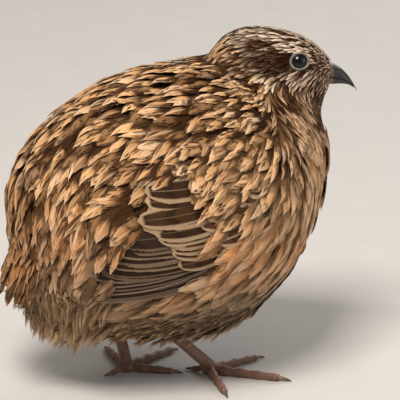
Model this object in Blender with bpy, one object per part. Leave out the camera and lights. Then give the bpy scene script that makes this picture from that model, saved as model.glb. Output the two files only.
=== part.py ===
"""A life-size coturnix quail standing at rest with its plumage fluffed.

The bird faces +X, its left side is +Y and the floor is z = 0. Lengths below are in
millimetres and are turned to metres where a mesh is made. The outer surface of the
plumage is one shape, drawn through cross-sections that run from the vent to the bill,
and the torso, neck and head are lengths of it with thin cuts between them. The wings,
tail, trousers, legs, toes, claws, bill and eyes are set on that surface.
"""

import math

import bmesh
import bpy
from mathutils import Matrix, Vector
from mathutils.bvhtree import BVHTree

MM = 0.001
CUT_GAP = 0.3

# Cross-sections of the plumage: belly point (x, z), back point (x, z), half width.
SECTIONS = (
    ((-46.5, 28.0), (-51.0, 44.0), 9.0),
    ((-39.0, 22.5), (-52.6, 57.0), 20.0),
    ((-28.0, 19.6), (-51.8, 69.0), 29.5),
    ((-14.0, 17.2), (-46.6, 80.6), 36.5),
    ((2.0, 15.4), (-37.0, 90.2), 40.8),
    ((16.5, 17.0), (-24.5, 98.0), 42.5),
    ((29.5, 24.0), (-11.5, 102.4), 41.8),
    ((40.5, 35.5), (0.0, 104.4), 38.6),
    ((48.8, 50.5), (7.6, 105.4), 33.2),
    ((53.6, 66.0), (11.8, 106.2), 26.0),
    ((54.3, 78.5), (14.2, 107.2), 19.6),
    ((52.6, 86.0), (16.4, 109.6), 15.2),
    ((52.6, 90.0), (20.0, 113.6), 12.6),
    ((53.2, 92.6), (26.4, 116.4), 11.2),
    ((53.9, 94.4), (34.4, 116.6), 10.4),
    ((54.4, 95.6), (42.6, 114.8), 9.7),
    ((54.8, 96.3), (49.4, 111.6), 7.6),
    ((55.2, 96.9), (54.6, 106.6), 4.5),
)
NECK_AT = 9.8
HEAD_AT = 12.2
LAST = len(SECTIONS) - 1
TORSO_RINGS = 23
TORSO_AROUND = 30

# The head is turned to the bird's right about an upright axis through the neck.
NECK_AXIS_X = 30.0
HEAD_TURN = math.radians(-20.0)

# Eyes and the relief of the face, in the frame of a head that looks straight ahead.
EYE_X, EYE_Z = 44.6, 107.2
EYEBALL_RADIUS = 3.5
EYE_SHOWN_RADIUS = 2.45
LID_RADIUS = 2.85
LID_THICKNESS = 0.66
LID_RISE = 0.22
LID_AROUND = 16
# Each swelling or hollow of the face: x, z, height, reach.
FACE_RELIEF = (
    (44.6, 107.2, -0.35, 3.6),
    (44.0, 112.4, 0.45, 2.6),
    (45.5, 98.6, 0.9, 4.0),
    (35.5, 104.0, 0.5, 4.5),
    (52.0, 103.8, -0.4, 2.4),
)

# Line of the mouth on the cheek, from its corner to the front of the face.
MOUTH_CORNER = (47.5, 99.4)
MOUTH_FRONT = (54.3, 100.55)
MOUTH_HALF_HEIGHT = 0.35
MOUTH_DEPTH = 0.7

# Bill: distances ahead of its base and heights of the ridge, mouth line and keel.
BILL_BASE_X = 55.2
BILL_SECTIONS = (
    (0.0, 105.0, 100.6, 97.4, 3.7),
    (2.0, 104.4, 100.3, 97.5, 3.3),
    (4.6, 102.6, 99.6, 97.6, 2.6),
    (7.0, 99.9, 98.3, 97.3, 1.8),
    (8.7, 97.2, 96.4, 96.0, 1.1),
)
BILL_HOOK = (9.7, 95.0)
NOSTRIL_X, NOSTRIL_Z, NOSTRIL_Y = 58.2, 102.1, 3.0

# The folded wing lies on an egg-shaped shell round the body: centre, half axes.
SHELL_CENTRE = (0.3, 58.2)
SHELL_LENGTH, SHELL_HEIGHT, SHELL_WIDTH = 64.8, 47.8, 43.0
# Tiers of wing feathers from the floor side of the stack outwards: name, count, first and
# last root, first and last tip (upper feather first), half widths, height over the shell.
WING_TIERS = (
    ("primary", 7, (5, 57), (3, 46.0), (-35, 50), (-43.5, 39.5), 3.5, 3.0, 1.4, 0.5),
    ("secondary", 4, (9, 66), (6, 54), (-31, 62), (-35, 51), 4.9, 4.3, 1.8, 1.4),
    ("tertial", 3, (10, 79), (9, 70), (-23, 77), (-28, 65), 5.0, 4.8, 2.2, 1.9),
    ("greater_covert", 5, (14, 83), (12, 55), (-12, 79), (-9, 49), 5.4, 4.5, 2.3, 1.8),
    ("median_covert", 5, (18, 84), (17, 61), (0, 81), (3, 54), 5.0, 4.2, 2.4, 2.1),
    ("lesser_covert", 4, (22, 84), (24, 67), (8, 83), (12, 61), 4.7, 4.2, 2.2, 2.1),
)
VANE_THICKNESS = 0.62
VANE_STATIONS = ((0.0, 0.6), (0.4, 0.95), (0.76, 0.95), (0.94, 0.6), (1.0, 0.14))
SHINGLE_TILT = 0.55
ROOT_SINK = 1.9
WING_CORE_FRONT, WING_CORE_REAR = (23.0, 80.0), (-7.0, 57.0)
WING_CORE_HALF_HEIGHT = 15.0
WING_CORE_THICKNESS = 1.9
WING_CORE_DEPTH = 3.0

# Tail: feathers fan from a root on the rump and hang down and back.
TAIL_ROOT = (-50.0, 57.0)
TAIL_END = (-58.5, 30.5)
# Tiers: name, count, length as a share of the tail, spread, half width, height, set back.
TAIL_TIERS = (
    ("tail_feather", 9, 1.0, 24.0, 3.5, 0.4, 0.0),
    ("tail_covert", 6, 0.68, 22.0, 4.2, 1.2, 1.5),
    ("rump_covert", 5, 0.52, 20.0, 4.6, 1.9, 6.0),
)
TAIL_CORE = (1.8, 9.0, 8.0)
TAIL_ROOT_SINK = 3.2

# Legs. Each row: foot centre (x, y), ankle offset from it, heading of the middle toe.
LEGS = {
    "right": ((11.5, -7.5), (-23.4, -1.0, 22.6), math.radians(-37.0)),
    "left": ((-14.0, 4.5), (-6.7, 1.0, 31.3), math.radians(30.0)),
}
TARSUS_BASE_Z = 6.2
TROUSER_DROP = 3.2
TROUSER_RADIUS, TROUSER_END_RADIUS = 7.5, 3.7
TARSUS_FORE_AFT, TARSUS_SIDE = 2.15, 1.7
# Toes of each foot: name, angle from the middle toe away from the body, length, radius.
TOES = {
    "right": (
        ("middle", 0.0, 24.5, 1.5),
        ("outer", 59.0, 20.5, 1.4),
        ("inner", -56.0, 20.5, 1.4),
        ("hind", 190.0, 6.0, 1.1),
    ),
    "left": (
        ("middle", 0.0, 23.0, 1.5),
        ("outer", 60.0, 20.5, 1.4),
        ("inner", -60.0, 15.5, 1.4),
        ("hind", 170.0, 6.5, 1.1),
    ),
}
PHALANX_LENGTH = 5.6
PAD_SWELL = 0.09
CLAW_LENGTH = 3.9
HIND_CLAW_LENGTH = 2.8
FOOT_RISE = 3.1

# Plain finishes read from the photograph, linear red, green, blue and roughness.
FINISHES = {
    "back_plumage": ((0.36, 0.20, 0.09), 0.75),
    "wing_plumage": ((0.33, 0.20, 0.10), 0.70),
    "head_plumage": ((0.20, 0.11, 0.06), 0.75),
    "neck_plumage": ((0.34, 0.19, 0.09), 0.75),
    "tail_plumage": ((0.30, 0.19, 0.10), 0.72),
    "leg_plumage": ((0.38, 0.28, 0.19), 0.80),
    "bill_horn": ((0.035, 0.035, 0.04), 0.35),
    "eye_gloss": ((0.010, 0.012, 0.016), 0.05),
    "leg_skin": ((0.36, 0.18, 0.13), 0.50),
    "claw_horn": ((0.16, 0.10, 0.07), 0.40),
}


def finish(name):
    """The named material, made once."""
    made = bpy.data.materials.get(name)
    if made is None:
        colour, roughness = FINISHES[name]
        made = bpy.data.materials.new(name)
        made.use_nodes = True
        shader = made.node_tree.nodes["Principled BSDF"]
        shader.inputs["Base Color"].default_value = (*colour, 1.0)
        shader.inputs["Roughness"].default_value = roughness
    return made


def new_object(name, points, faces, finish_name=None):
    """A mesh object from points in millimetres, with its faces turned outwards."""
    mesh = bpy.data.meshes.new(name)
    mesh.from_pydata([[c * MM for c in p] for p in points], [], faces)
    shape = bmesh.new()
    shape.from_mesh(mesh)
    bmesh.ops.recalc_face_normals(shape, faces=shape.faces)
    if shape.calc_volume(signed=True) < 0:
        bmesh.ops.reverse_faces(shape, faces=shape.faces)
    shape.to_mesh(mesh)
    shape.free()
    made = bpy.data.objects.new(name, mesh)
    bpy.context.scene.collection.objects.link(made)
    if finish_name:
        mesh.materials.append(finish(finish_name))
        mesh.shade_smooth()
    return made


def loft(name, rings, finish_name=None):
    """A closed skin over rings of equal count, each end closed by a fan about its middle."""
    count = len(rings[0])
    points = [p for ring in rings for p in ring]
    faces = []
    for i in range(len(rings) - 1):
        for j in range(count):
            a, b = i * count + j, i * count + (j + 1) % count
            faces.append((a, b, b + count, a + count))
    for ring, start in ((rings[0], 0), (rings[-1], (len(rings) - 1) * count)):
        middle = sum((Vector(p) for p in ring), Vector()) / count
        points.append(middle)
        for j in range(count):
            faces.append((start + j, start + (j + 1) % count, len(points) - 1))
    return new_object(name, points, faces, finish_name)


def ellipsoid(name, centre, radii, turn=None, rings=10, around=16):
    """A closed ellipsoid, turned by a 3 x 3 matrix if one is given."""
    turn = turn or Matrix.Identity(3)
    shape = bmesh.new()
    bmesh.ops.create_uvsphere(shape, u_segments=around, v_segments=rings, radius=1.0)
    points = []
    for vert in shape.verts:
        local = Vector((vert.co.x * radii[0], vert.co.y * radii[1], vert.co.z * radii[2]))
        points.append(Vector(centre) + turn @ local)
    faces = [[v.index for v in f.verts] for f in shape.faces]
    shape.free()
    return new_object(name, points, faces)


def boolean(target, operation, others, solver="MANIFOLD"):
    """Joins or cuts target with the closed objects in others, applies it and removes them."""
    group = bpy.data.collections.new(target.name + "_" + operation.lower())
    bpy.context.scene.collection.children.link(group)
    for other in others:
        bpy.context.scene.collection.objects.unlink(other)
        group.objects.link(other)
    step = target.modifiers.new(operation.lower(), "BOOLEAN")
    step.operation = operation
    step.solver = solver
    step.operand_type = "COLLECTION"
    step.collection = group
    bpy.context.view_layer.update()
    graph = bpy.context.evaluated_depsgraph_get()
    result = bpy.data.meshes.new_from_object(target.evaluated_get(graph))
    target.modifiers.clear()
    target.data = result
    for other in others:
        bpy.data.objects.remove(other)
    bpy.data.collections.remove(group)
    return target


def keep_largest(target):
    """Keeps the closed surface that spans the most, and drops sealed hollows and scraps."""
    shape = bmesh.new()
    shape.from_mesh(target.data)
    left, best, span = set(shape.faces), set(), 0.0
    while left:
        stack = [left.pop()]
        body = set(stack)
        while stack:
            for edge in stack.pop().edges:
                for face in edge.link_faces:
                    if face in left:
                        left.remove(face)
                        body.add(face)
                        stack.append(face)
        corners = [v.co for f in body for v in f.verts]
        size = sum(max(c[i] for c in corners) - min(c[i] for c in corners) for i in range(3))
        if size > span:
            best, span = body, size
    doomed = [f for f in shape.faces if f not in best]
    bmesh.ops.delete(shape, geom=doomed, context="FACES")
    shape.to_mesh(target.data)
    shape.free()
    return target


def smoothstep(value):
    value = min(1.0, max(0.0, value))
    return value * value * (3.0 - 2.0 * value)


def lerp(a, b, share):
    return tuple(x + (y - x) * share for x, y in zip(a, b))


def section(at):
    """Belly point, back point and half width of the plumage at a place along the bird."""
    rows = [(*belly, *back, width) for belly, back, width in SECTIONS]
    low = min(int(at), LAST - 1)
    share = at - low
    p0, p1 = rows[max(low - 1, 0)], rows[low]
    p2, p3 = rows[low + 1], rows[min(low + 2, LAST)]
    mixed = []
    for a, b, c, d in zip(p0, p1, p2, p3):
        mixed.append(
            0.5
            * (
                2 * b
                + (c - a) * share
                + (2 * a - 5 * b + 4 * c - d) * share**2
                + (3 * b - a - 3 * c + d) * share**3
            )
        )
    return Vector((mixed[0], 0, mixed[1])), Vector((mixed[2], 0, mixed[3])), mixed[4]


def turned(point, share=1.0):
    """The point after the head's turn about the neck axis."""
    pivot = Vector((NECK_AXIS_X, 0, 0))
    return pivot + Matrix.Rotation(HEAD_TURN * share, 3, "Z") @ (Vector(point) - pivot)


def turn_share(at):
    """How much of the head's turn a section has: none on the torso, all on the head."""
    return smoothstep((at - 8.5) / (HEAD_AT + 0.6 - 8.5))


def face_relief(point):
    """How far the face stands out or sinks at a point, as a length."""
    raised = 0.0
    for x, z, height, reach in FACE_RELIEF:
        away = ((point.x - x) ** 2 + (point.z - z) ** 2) / (2 * reach * reach * 0.36)
        raised += height * math.exp(-away)
    return raised * smoothstep(abs(point.y) / 5.0)


def flesh_ring(at, around, shift=0.0, swell=0.0):
    """One cross-section of the plumage, moved along its own normal by shift."""
    belly, back, width = section(at)
    middle, up = (belly + back) / 2, (back - belly) / 2
    normal = Vector((0, 1, 0)).cross(up).normalized()
    ring = []
    for j in range(around):
        angle = 2 * math.pi * j / around
        outward = up * math.cos(angle) + Vector((0, width * math.sin(angle), 0))
        point = middle + outward
        if at > HEAD_AT:
            share = smoothstep((at - HEAD_AT) / 1.5)
            point += outward.normalized() * face_relief(point) * share
        point += outward.normalized() * swell + normal * shift
        ring.append(turned(point, turn_share(at)))
    return ring


def steps(first, last, count):
    return [first + (last - first) * i / (count - 1) for i in range(count)]


def flesh(name, first, last, count, around, finish_name=None, swell=0.0, gaps=(0, 0)):
    """The length of the plumage from one place to another, with its cut ends drawn in."""
    rings = []
    for i, at in enumerate(steps(first, last, count)):
        shift = gaps[0] if i == 0 else -gaps[1] if i == count - 1 else 0.0
        rings.append(flesh_ring(at, around, shift, swell))
    return loft(name, rings, finish_name)


def torso_body(name, finish_name=None, swell=0.0):
    """The torso, closed by a rounded end at the vent."""
    belly, back, width = section(0.0)
    middle, up = (belly + back) / 2, (back - belly) / 2
    normal = Vector((0, 1, 0)).cross(up).normalized()
    rings = []
    for depth, size in ((3.4, 0.28), (2.4, 0.66), (1.2, 0.88)):
        ring = []
        for j in range(TORSO_AROUND):
            angle = 2 * math.pi * j / TORSO_AROUND
            outward = up * math.cos(angle) + Vector((0, width * math.sin(angle), 0))
            ring.append(middle + outward * size + outward.normalized() * swell
                        - normal * (depth + swell))
        rings.append(ring)
    ats = steps(0.0, NECK_AT, TORSO_RINGS)
    for at in ats:
        shift = -CUT_GAP / 2 if at == ats[-1] and not swell else 0.0
        rings.append(flesh_ring(at, TORSO_AROUND, shift, swell))
    return loft(name, rings, finish_name)


def tree_of(target):
    shape = bmesh.new()
    shape.from_mesh(target.data)
    tree = BVHTree.FromBMesh(shape)
    shape.free()
    return tree


def shell_point(x, z, height, side):
    """A point at a height over the egg-shaped shell that the folded wing follows."""
    a = (x - SHELL_CENTRE[0]) / SHELL_LENGTH
    b = (z - SHELL_CENTRE[1]) / SHELL_HEIGHT
    y = SHELL_WIDTH * math.sqrt(max(0.02, 1 - a * a - b * b))
    normal = Vector((a / SHELL_LENGTH, y / SHELL_WIDTH**2, b / SHELL_HEIGHT)).normalized()
    point = Vector((x, y, z)) + normal * height
    return Vector((point.x, point.y * side, point.z))


def vane(name, place, thickness):
    """A feather's vane: place(along, across, height) puts it, with both faces cut alike."""
    points, faces = [], []
    for along, width in VANE_STATIONS:
        for lift in (0.5, -0.5):
            for across in (-1, 0, 1):
                crown = 1.0 if across == 0 else 0.75
                height = lift * thickness * crown * (1.0 if along < 0.9 else 0.8)
                points.append(place(along, across * width, height))
    for i in range(len(VANE_STATIONS) - 1):
        for side in (0, 3):
            for j in (0, 1):
                a, b = i * 6 + side + j, i * 6 + side + j + 1
                faces += [(a, b, b + 6), (a, b + 6, a + 6)]
        for j in (0, 2):
            a, b = i * 6 + j, i * 6 + 3 + j
            faces += [(a, b, b + 6), (a, b + 6, a + 6)]
    last = (len(VANE_STATIONS) - 1) * 6
    for start in (0, last):
        for j in (0, 1):
            a, b = start + j, start + j + 1
            faces += [(a, b, b + 3), (a, b + 3, a + 3)]
    return new_object(name, points, faces)


def wing_vane(tier, index, count, row, side):
    """One feather of a wing tier, laid on the shell like a roof tile."""
    root0, root1, tip0, tip1, width0, width1, height0, height1 = row
    share = index / max(count - 1, 1)
    root, tip = lerp(root0, root1, share), lerp(tip0, tip1, share)
    if tier == "primary":
        tip = (tip0[0] + (tip1[0] - tip0[0]) * share**0.55, tip[1])
    width = width0 + (width1 - width0) * share
    height = height0 + (height1 - height0) * share
    length = math.hypot(tip[0] - root[0], tip[1] - root[1])
    ahead = ((tip[0] - root[0]) / length, (tip[1] - root[1]) / length)
    below = (-ahead[1], ahead[0])

    def place(along, across, lift):
        bow = 1.4 * math.sin(math.pi * along)
        x = root[0] + ahead[0] * length * along + below[0] * (across * width + bow)
        z = root[1] + ahead[1] * length * along + below[1] * (across * width + bow)
        rise = height - ROOT_SINK * (1 - along) ** 2.5 + SHINGLE_TILT * across * 0.5
        return shell_point(x, z, rise + lift, side)

    return vane(f"{tier}_{index}", place, VANE_THICKNESS)


def wing_core(side):
    """The arm under the coverts, a lens that reaches down into the torso before it is cut."""
    front, rear = Vector((WING_CORE_FRONT[0], WING_CORE_FRONT[1])), Vector(WING_CORE_REAR)
    axis = (rear - front)
    half = axis.length / 2
    ahead = axis.normalized()
    below = Vector((-ahead.y, ahead.x))
    middle = (front + rear) / 2
    around = 18
    rings = []
    for level in (1.0, 0.88, 0.65, 0.35):
        top = []
        for j in range(around):
            angle = 2 * math.pi * j / around
            flat = (middle + ahead * half * level * math.cos(angle)
                    + below * WING_CORE_HALF_HEIGHT * level * math.sin(angle))
            thick = WING_CORE_THICKNESS * math.sqrt(max(0.0, 1 - level**2.4))
            top.append(shell_point(flat.x, flat.y, thick, side))
        rings.append(top)
    deep = []
    for j in range(around):
        angle = 2 * math.pi * j / around
        flat = (middle + ahead * half * 0.96 * math.cos(angle)
                + below * WING_CORE_HALF_HEIGHT * 0.96 * math.sin(angle))
        deep.append(shell_point(flat.x, flat.y, -WING_CORE_DEPTH, side))
    return loft("core", [deep] + rings)


def wing(side_name, side, clearance_of):
    """A folded wing: its arm and its tiers of feathers, cut clear of the torso."""
    pieces = []
    for tier, count, *row in WING_TIERS:
        for index in range(count):
            pieces.append(wing_vane(tier, index, count, row, side))
    made = wing_core(side)
    made.name = "wing_" + side_name
    made.data.materials.append(finish("wing_plumage"))
    boolean(made, "UNION", pieces)
    boolean(made, "DIFFERENCE", clearance_of())
    return keep_largest(made)


def tail(clearance_of):
    """The short tail under its coverts, cut clear of the rump."""
    root, end = Vector((TAIL_ROOT[0], 0, TAIL_ROOT[1])), Vector((TAIL_END[0], 0, TAIL_END[1]))
    ahead = (end - root).normalized()
    outward = Vector((0, 1, 0)).cross(ahead).normalized()
    if outward.x > 0:
        outward = -outward
    length = (end - root).length
    turn = Matrix((outward, Vector((0, 1, 0)), -ahead)).transposed()
    made = ellipsoid("tail", root + ahead * 2.5, TAIL_CORE, turn)
    made.data.materials.append(finish("tail_plumage"))
    pieces = []
    for tier, count, reach, spread, width, height, set_back in TAIL_TIERS:
        for index in range(count):
            across_share = 2 * index / (count - 1) - 1
            angle = math.radians(spread) * across_share
            heading = ahead * math.cos(angle) + Vector((0, math.sin(angle), 0))
            sideways = Vector((0, math.cos(angle), 0)) - ahead * math.sin(angle)
            start = root + Vector((0, 5.5 * across_share, 0)) - ahead * set_back
            own = length * reach * (1 - 0.12 * abs(across_share))

            def place(along, across, lift):
                arch = 2.6 * across_share**2
                rise = height - TAIL_ROOT_SINK * (1 - along) ** 2.5 - arch - 0.28 * (index % 2)
                tilt = 0.3 * across * (1 if across_share > 0 else -1)
                return (start + heading * own * along + sideways * across * width
                        + outward * (rise - tilt + lift))

            pieces.append(vane(f"{tier}_{index}", place, VANE_THICKNESS))
    boolean(made, "UNION", pieces)
    boolean(made, "DIFFERENCE", clearance_of())
    return keep_largest(made)


def turned_way(direction):
    return Matrix.Rotation(HEAD_TURN, 3, "Z") @ Vector(direction)


def side_of_face(tree, x, z, side):
    """Where the face is met from one side, at a place given for a head that looks ahead."""
    start = turned((x, side * 30.0, z))
    hit, _, _, _ = tree.ray_cast(start * MM, turned_way((0, -side, 0)))
    return hit / MM


def head(made):
    """The head with raised lids, a socket for each eye and the corner of the mouth."""
    tree = tree_of(made)
    lids, cutters, eyes = [], [], {}
    for side_name, side in (("left", 1), ("right", -1)):
        rim = []
        for i in range(LID_AROUND):
            angle = 2 * math.pi * i / LID_AROUND
            rim.append(side_of_face(tree, EYE_X + LID_RADIUS * math.cos(angle),
                                    EYE_Z + LID_RADIUS * math.sin(angle), side))
        middle = sum(rim, Vector()) / LID_AROUND
        quarter = LID_AROUND // 4
        axis = (rim[0] - rim[2 * quarter]).cross(rim[quarter] - rim[3 * quarter]).normalized()
        if axis.dot(turned_way((0, side, 0))) < 0:
            axis = -axis
        lids.append(lid_ring([point + axis * LID_RISE for point in rim], middle, axis))
        sink = math.sqrt(EYEBALL_RADIUS**2 - EYE_SHOWN_RADIUS**2)
        centre = middle - axis * (sink - LID_RISE - 0.15)
        eyes[side_name] = centre
        cutters.append(ellipsoid("socket_" + side_name, centre,
                                 [EYEBALL_RADIUS + CUT_GAP] * 3, rings=8, around=14))
        cutters.append(mouth_groove(tree, side))
    boolean(made, "UNION", lids)
    boolean(made, "DIFFERENCE", cutters)
    keep_largest(made)
    return eyes


def lid_ring(rim, middle, axis):
    """The bare rim round an eye, laid along the face."""
    points, faces = [], []
    count, sides = len(rim), 6
    for i, place in enumerate(rim):
        spoke = (place - middle).normalized()
        for j in range(sides):
            turn = 2 * math.pi * j / sides
            points.append(place + spoke * LID_THICKNESS * math.cos(turn)
                          + axis * LID_THICKNESS * math.sin(turn))
            a, b = i * sides + j, i * sides + (j + 1) % sides
            faces.append((a, b, (b + sides) % (count * sides), (a + sides) % (count * sides)))
    return new_object("lid", points, faces)


def mouth_groove(tree, side):
    """A cutter for the line of the mouth, from its corner out past the front of the face."""
    outward = turned_way((0, side, 0))
    rings = []
    for i in range(8):
        share = min(i, 6) / 6
        x, z = lerp(MOUTH_CORNER, MOUTH_FRONT, share)
        surface = side_of_face(tree, x, z - 0.5 * math.sin(math.pi * share), side)
        if i == 7:
            surface = surface + turned_way((2.0, -side * 0.8, 0))
        tall = MOUTH_HALF_HEIGHT * (0.3 + 0.7 * smoothstep(share * 2.5))
        rings.append([
            surface + outward * 2.0 + Vector((0, 0, tall * 2)),
            surface - outward * MOUTH_DEPTH,
            surface + outward * 2.0 - Vector((0, 0, tall * 2)),
        ])
    return loft("mouth", rings)


def eye(name, centre):
    made = ellipsoid(name, centre, [EYEBALL_RADIUS] * 3, rings=8, around=14)
    made.data.materials.append(finish("eye_gloss"))
    made.data.shade_smooth()
    return made


def bill_half(name, upper, finish_name):
    """One half of the bill, from the face to its tip, with the mouth line between them."""
    around = 12
    belly, back, _ = section(LAST)
    lean = (back.x - belly.x) / (back.z - belly.z)
    rings = []
    for ahead, ridge, mouth, keel, width in BILL_SECTIONS:
        fade = 1 - min(1.0, ahead / 6.0)
        ring = []
        edge = mouth + CUT_GAP / 2 if upper else mouth - CUT_GAP / 2
        far = ridge if upper else keel
        for j in range(around):
            angle = math.pi * j / (around - 1)
            y = width * math.cos(angle) * (1.0 if upper else 0.9)
            z = edge + (far - edge) * math.sin(angle) ** 0.8
            x = belly.x + CUT_GAP + ahead + (z - belly.z) * lean * fade
            ring.append(turned((x, y, z)))
        rings.append(ring)
    if upper:
        hook_x, hook_z = BILL_BASE_X + BILL_HOOK[0], BILL_HOOK[1]
        rings.append([turned((hook_x, 0.30 * math.cos(math.pi * j / (around - 1)),
                              hook_z + 0.5 * math.sin(math.pi * j / (around - 1))))
                      for j in range(around)])
    made = loft(name, rings, finish_name)
    if upper:
        flaps, slits = [], []
        for side in (1, -1):
            flap_at = turned((NOSTRIL_X, side * NOSTRIL_Y * 0.86, NOSTRIL_Z + 0.45))
            slit_at = turned((NOSTRIL_X + 0.2, side * (NOSTRIL_Y + 0.35), NOSTRIL_Z - 0.55))
            flaps.append(ellipsoid("flap", flap_at, (1.9, 0.75, 1.0), rotated(-16), 8, 12))
            slits.append(ellipsoid("slit", slit_at, (1.35, 0.75, 0.34), rotated(-16), 8, 12))
        boolean(made, "UNION", flaps)
        boolean(made, "DIFFERENCE", slits)
        keep_largest(made)
    return made


def rotated(pitch):
    """A turn with the head that also dips the front by a pitch in degrees."""
    return (Matrix.Rotation(HEAD_TURN, 3, "Z")
            @ Matrix.Rotation(math.radians(-pitch), 3, "Y"))


def limb(name, path, radii, around, finish_name=None, flat=1.0, first_way=None, last_way=None):
    """A tapering round limb through the points of a path. flat narrows it sideways."""
    rings = []
    for i, point in enumerate(path):
        before = Vector(path[max(i - 1, 0)])
        after = Vector(path[min(i + 1, len(path) - 1)])
        way = (after - before).normalized()
        if i == 0 and first_way:
            way = Vector(first_way).normalized()
        if i == len(path) - 1 and last_way:
            way = Vector(last_way).normalized()
        side = way.cross(Vector((0, 0, 1)))
        if side.length < 0.2:
            side = Vector((0, 1, 0)) - way * way.y
        side.normalize()
        up = side.cross(way).normalized()
        ring = []
        for j in range(around):
            angle = 2 * math.pi * j / around
            ring.append(Vector(point) + side * radii[i] * flat * math.cos(angle)
                        + up * radii[i] * math.sin(angle))
        rings.append(ring)
    return loft(name, rings, finish_name)


def leg_line(side_name):
    """The foot's centre, the ankle and the way from one to the other."""
    (foot_x, foot_y), ankle, _ = LEGS[side_name]
    foot = Vector((foot_x, foot_y, FOOT_RISE))
    way = Vector(ankle).normalized()
    return foot, foot + Vector(ankle), way


def leg_at(side_name, z):
    foot, _, way = leg_line(side_name)
    return foot + way * ((z - foot.z) / way.z)


def trouser_end(side_name, tree):
    """Where the bare shank leaves the feathers, a little way below the belly."""
    foot_centre, _, way = leg_line(side_name)
    hit, _, _, _ = tree.ray_cast(foot_centre * MM, way)
    return hit / MM - way * TROUSER_DROP


def tarsus(side_name, tree):
    """The bare shank from the trouser to the foot, deeper than it is wide."""
    _, _, way = leg_line(side_name)
    low, high = leg_at(side_name, TARSUS_BASE_Z), trouser_end(side_name, tree)
    low, high = low + way * CUT_GAP / 2, high - way * CUT_GAP / 2
    count = 6
    path = [low + (high - low) * i / (count - 1) for i in range(count)]
    radii = [TARSUS_FORE_AFT * (1.0 - 0.10 * math.sin(math.pi * i / (count - 1)))
             for i in range(count)]
    return limb("tarsus_" + side_name, path, radii, 14, "leg_skin",
                TARSUS_SIDE / TARSUS_FORE_AFT, way, way)


def trouser(side_name, tree, clearance_of):
    """The feathered upper leg where it leaves the belly, flat where the shank begins."""
    _, ankle, way = leg_line(side_name)
    end = trouser_end(side_name, tree) + way * CUT_GAP / 2
    reach = (ankle - end).length + 10.0
    shares = (0.0, 0.12, 0.3, 0.6, 1.0)
    path = [end + way * reach * s for s in shares]
    radii = [TROUSER_END_RADIUS + (TROUSER_RADIUS - TROUSER_END_RADIUS) * smoothstep(s * 2.2)
             for s in shares]
    made = limb("thigh_" + side_name, path, radii, 18, "leg_plumage", 0.9, way, way)
    boolean(made, "DIFFERENCE", clearance_of())
    return keep_largest(made)


def toe_path(side_name, angle, length, radius):
    """The middle line of a toe over the floor, from inside the foot to the claw."""
    foot, _, _ = leg_line(side_name)
    side = 1 if side_name == "left" else -1
    heading = LEGS[side_name][2] + side * math.radians(angle)
    way = Vector((math.cos(heading), math.sin(heading), 0))
    count = 9
    path, radii = [], []
    for i in range(count):
        share = i / (count - 1)
        reach = length * share
        pads = 1 + PAD_SWELL * math.cos(2 * math.pi * reach / PHALANX_LENGTH)
        thick = radius * (1 - 0.30 * share)
        rise = (foot.z - 0.6 - radius) * (1 - smoothstep(reach / 6.0)) + thick * 0.94
        path.append(Vector((foot.x, foot.y, 0)) + way * reach + Vector((0, 0, rise)))
        radii.append(thick * pads)
    return path, radii, way


def foot(side_name):
    """The foot with its four toes, and flats under them all at floor level."""
    centre, _, way = leg_line(side_name)
    low = leg_at(side_name, TARSUS_BASE_Z)
    stub = limb("foot_" + side_name,
                [centre - way * 1.0, centre + (low - centre) * 0.5, low - way * CUT_GAP / 2],
                [TARSUS_FORE_AFT * 0.95] * 3, 14, "leg_skin",
                TARSUS_SIDE / TARSUS_FORE_AFT, way, way)
    pad = ellipsoid("pad", Vector((centre.x, centre.y, 2.0)), (2.9, 2.7, 2.2), rings=8, around=12)
    toes, claws = [pad], []
    for toe, angle, length, radius in TOES[side_name]:
        path, radii, way_out = toe_path(side_name, angle, length, radius)
        toes.append(limb(toe, path, radii, 8))
        claws.append((toe, path[-1], radii[-1], way_out))
    boolean(stub, "UNION", toes)
    floor_box = new_object("floor_box", *box_mesh((-90, -90, -8), (90, 90, 0)))
    boolean(stub, "DIFFERENCE", [floor_box])
    keep_largest(stub)
    return [claw(side_name, *row) for row in claws]


def claw(side_name, toe, root, radius, way):
    """A short curved claw, set 0.3 mm off the end of its toe and clear of the floor."""
    length = HIND_CLAW_LENGTH if toe == "hind" else CLAW_LENGTH
    path, radii = [], []
    count = 6
    for i in range(count):
        share = i / (count - 1)
        drop = (root.z - 0.55) * share**2.2
        path.append(root + way * (CUT_GAP + length * share) - Vector((0, 0, drop)))
        radii.append(radius * 0.72 * (1 - share) ** 0.8 + 0.12)
    return limb(f"claw_{side_name}_{toe}", path, radii, 8, "claw_horn", 0.8, way)


def box_mesh(low, high):
    points = [(x, y, z) for x in (low[0], high[0]) for y in (low[1], high[1])
              for z in (low[2], high[2])]
    faces = [(0, 1, 3, 2), (4, 6, 7, 5), (0, 4, 5, 1), (2, 3, 7, 6), (0, 2, 6, 4), (1, 5, 7, 3)]
    return points, faces


def stand_on_origin(objects):
    """Moves the whole bird so that the middle of its footprint box is the origin."""
    corners = [v.co for o in objects for v in o.data.vertices]
    low = [min(c[i] for c in corners) for i in range(3)]
    high = [max(c[i] for c in corners) for i in range(3)]
    shift = Matrix.Translation((-(low[0] + high[0]) / 2, -(low[1] + high[1]) / 2, -low[2]))
    for made in objects:
        made.data.transform(shift)


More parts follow.
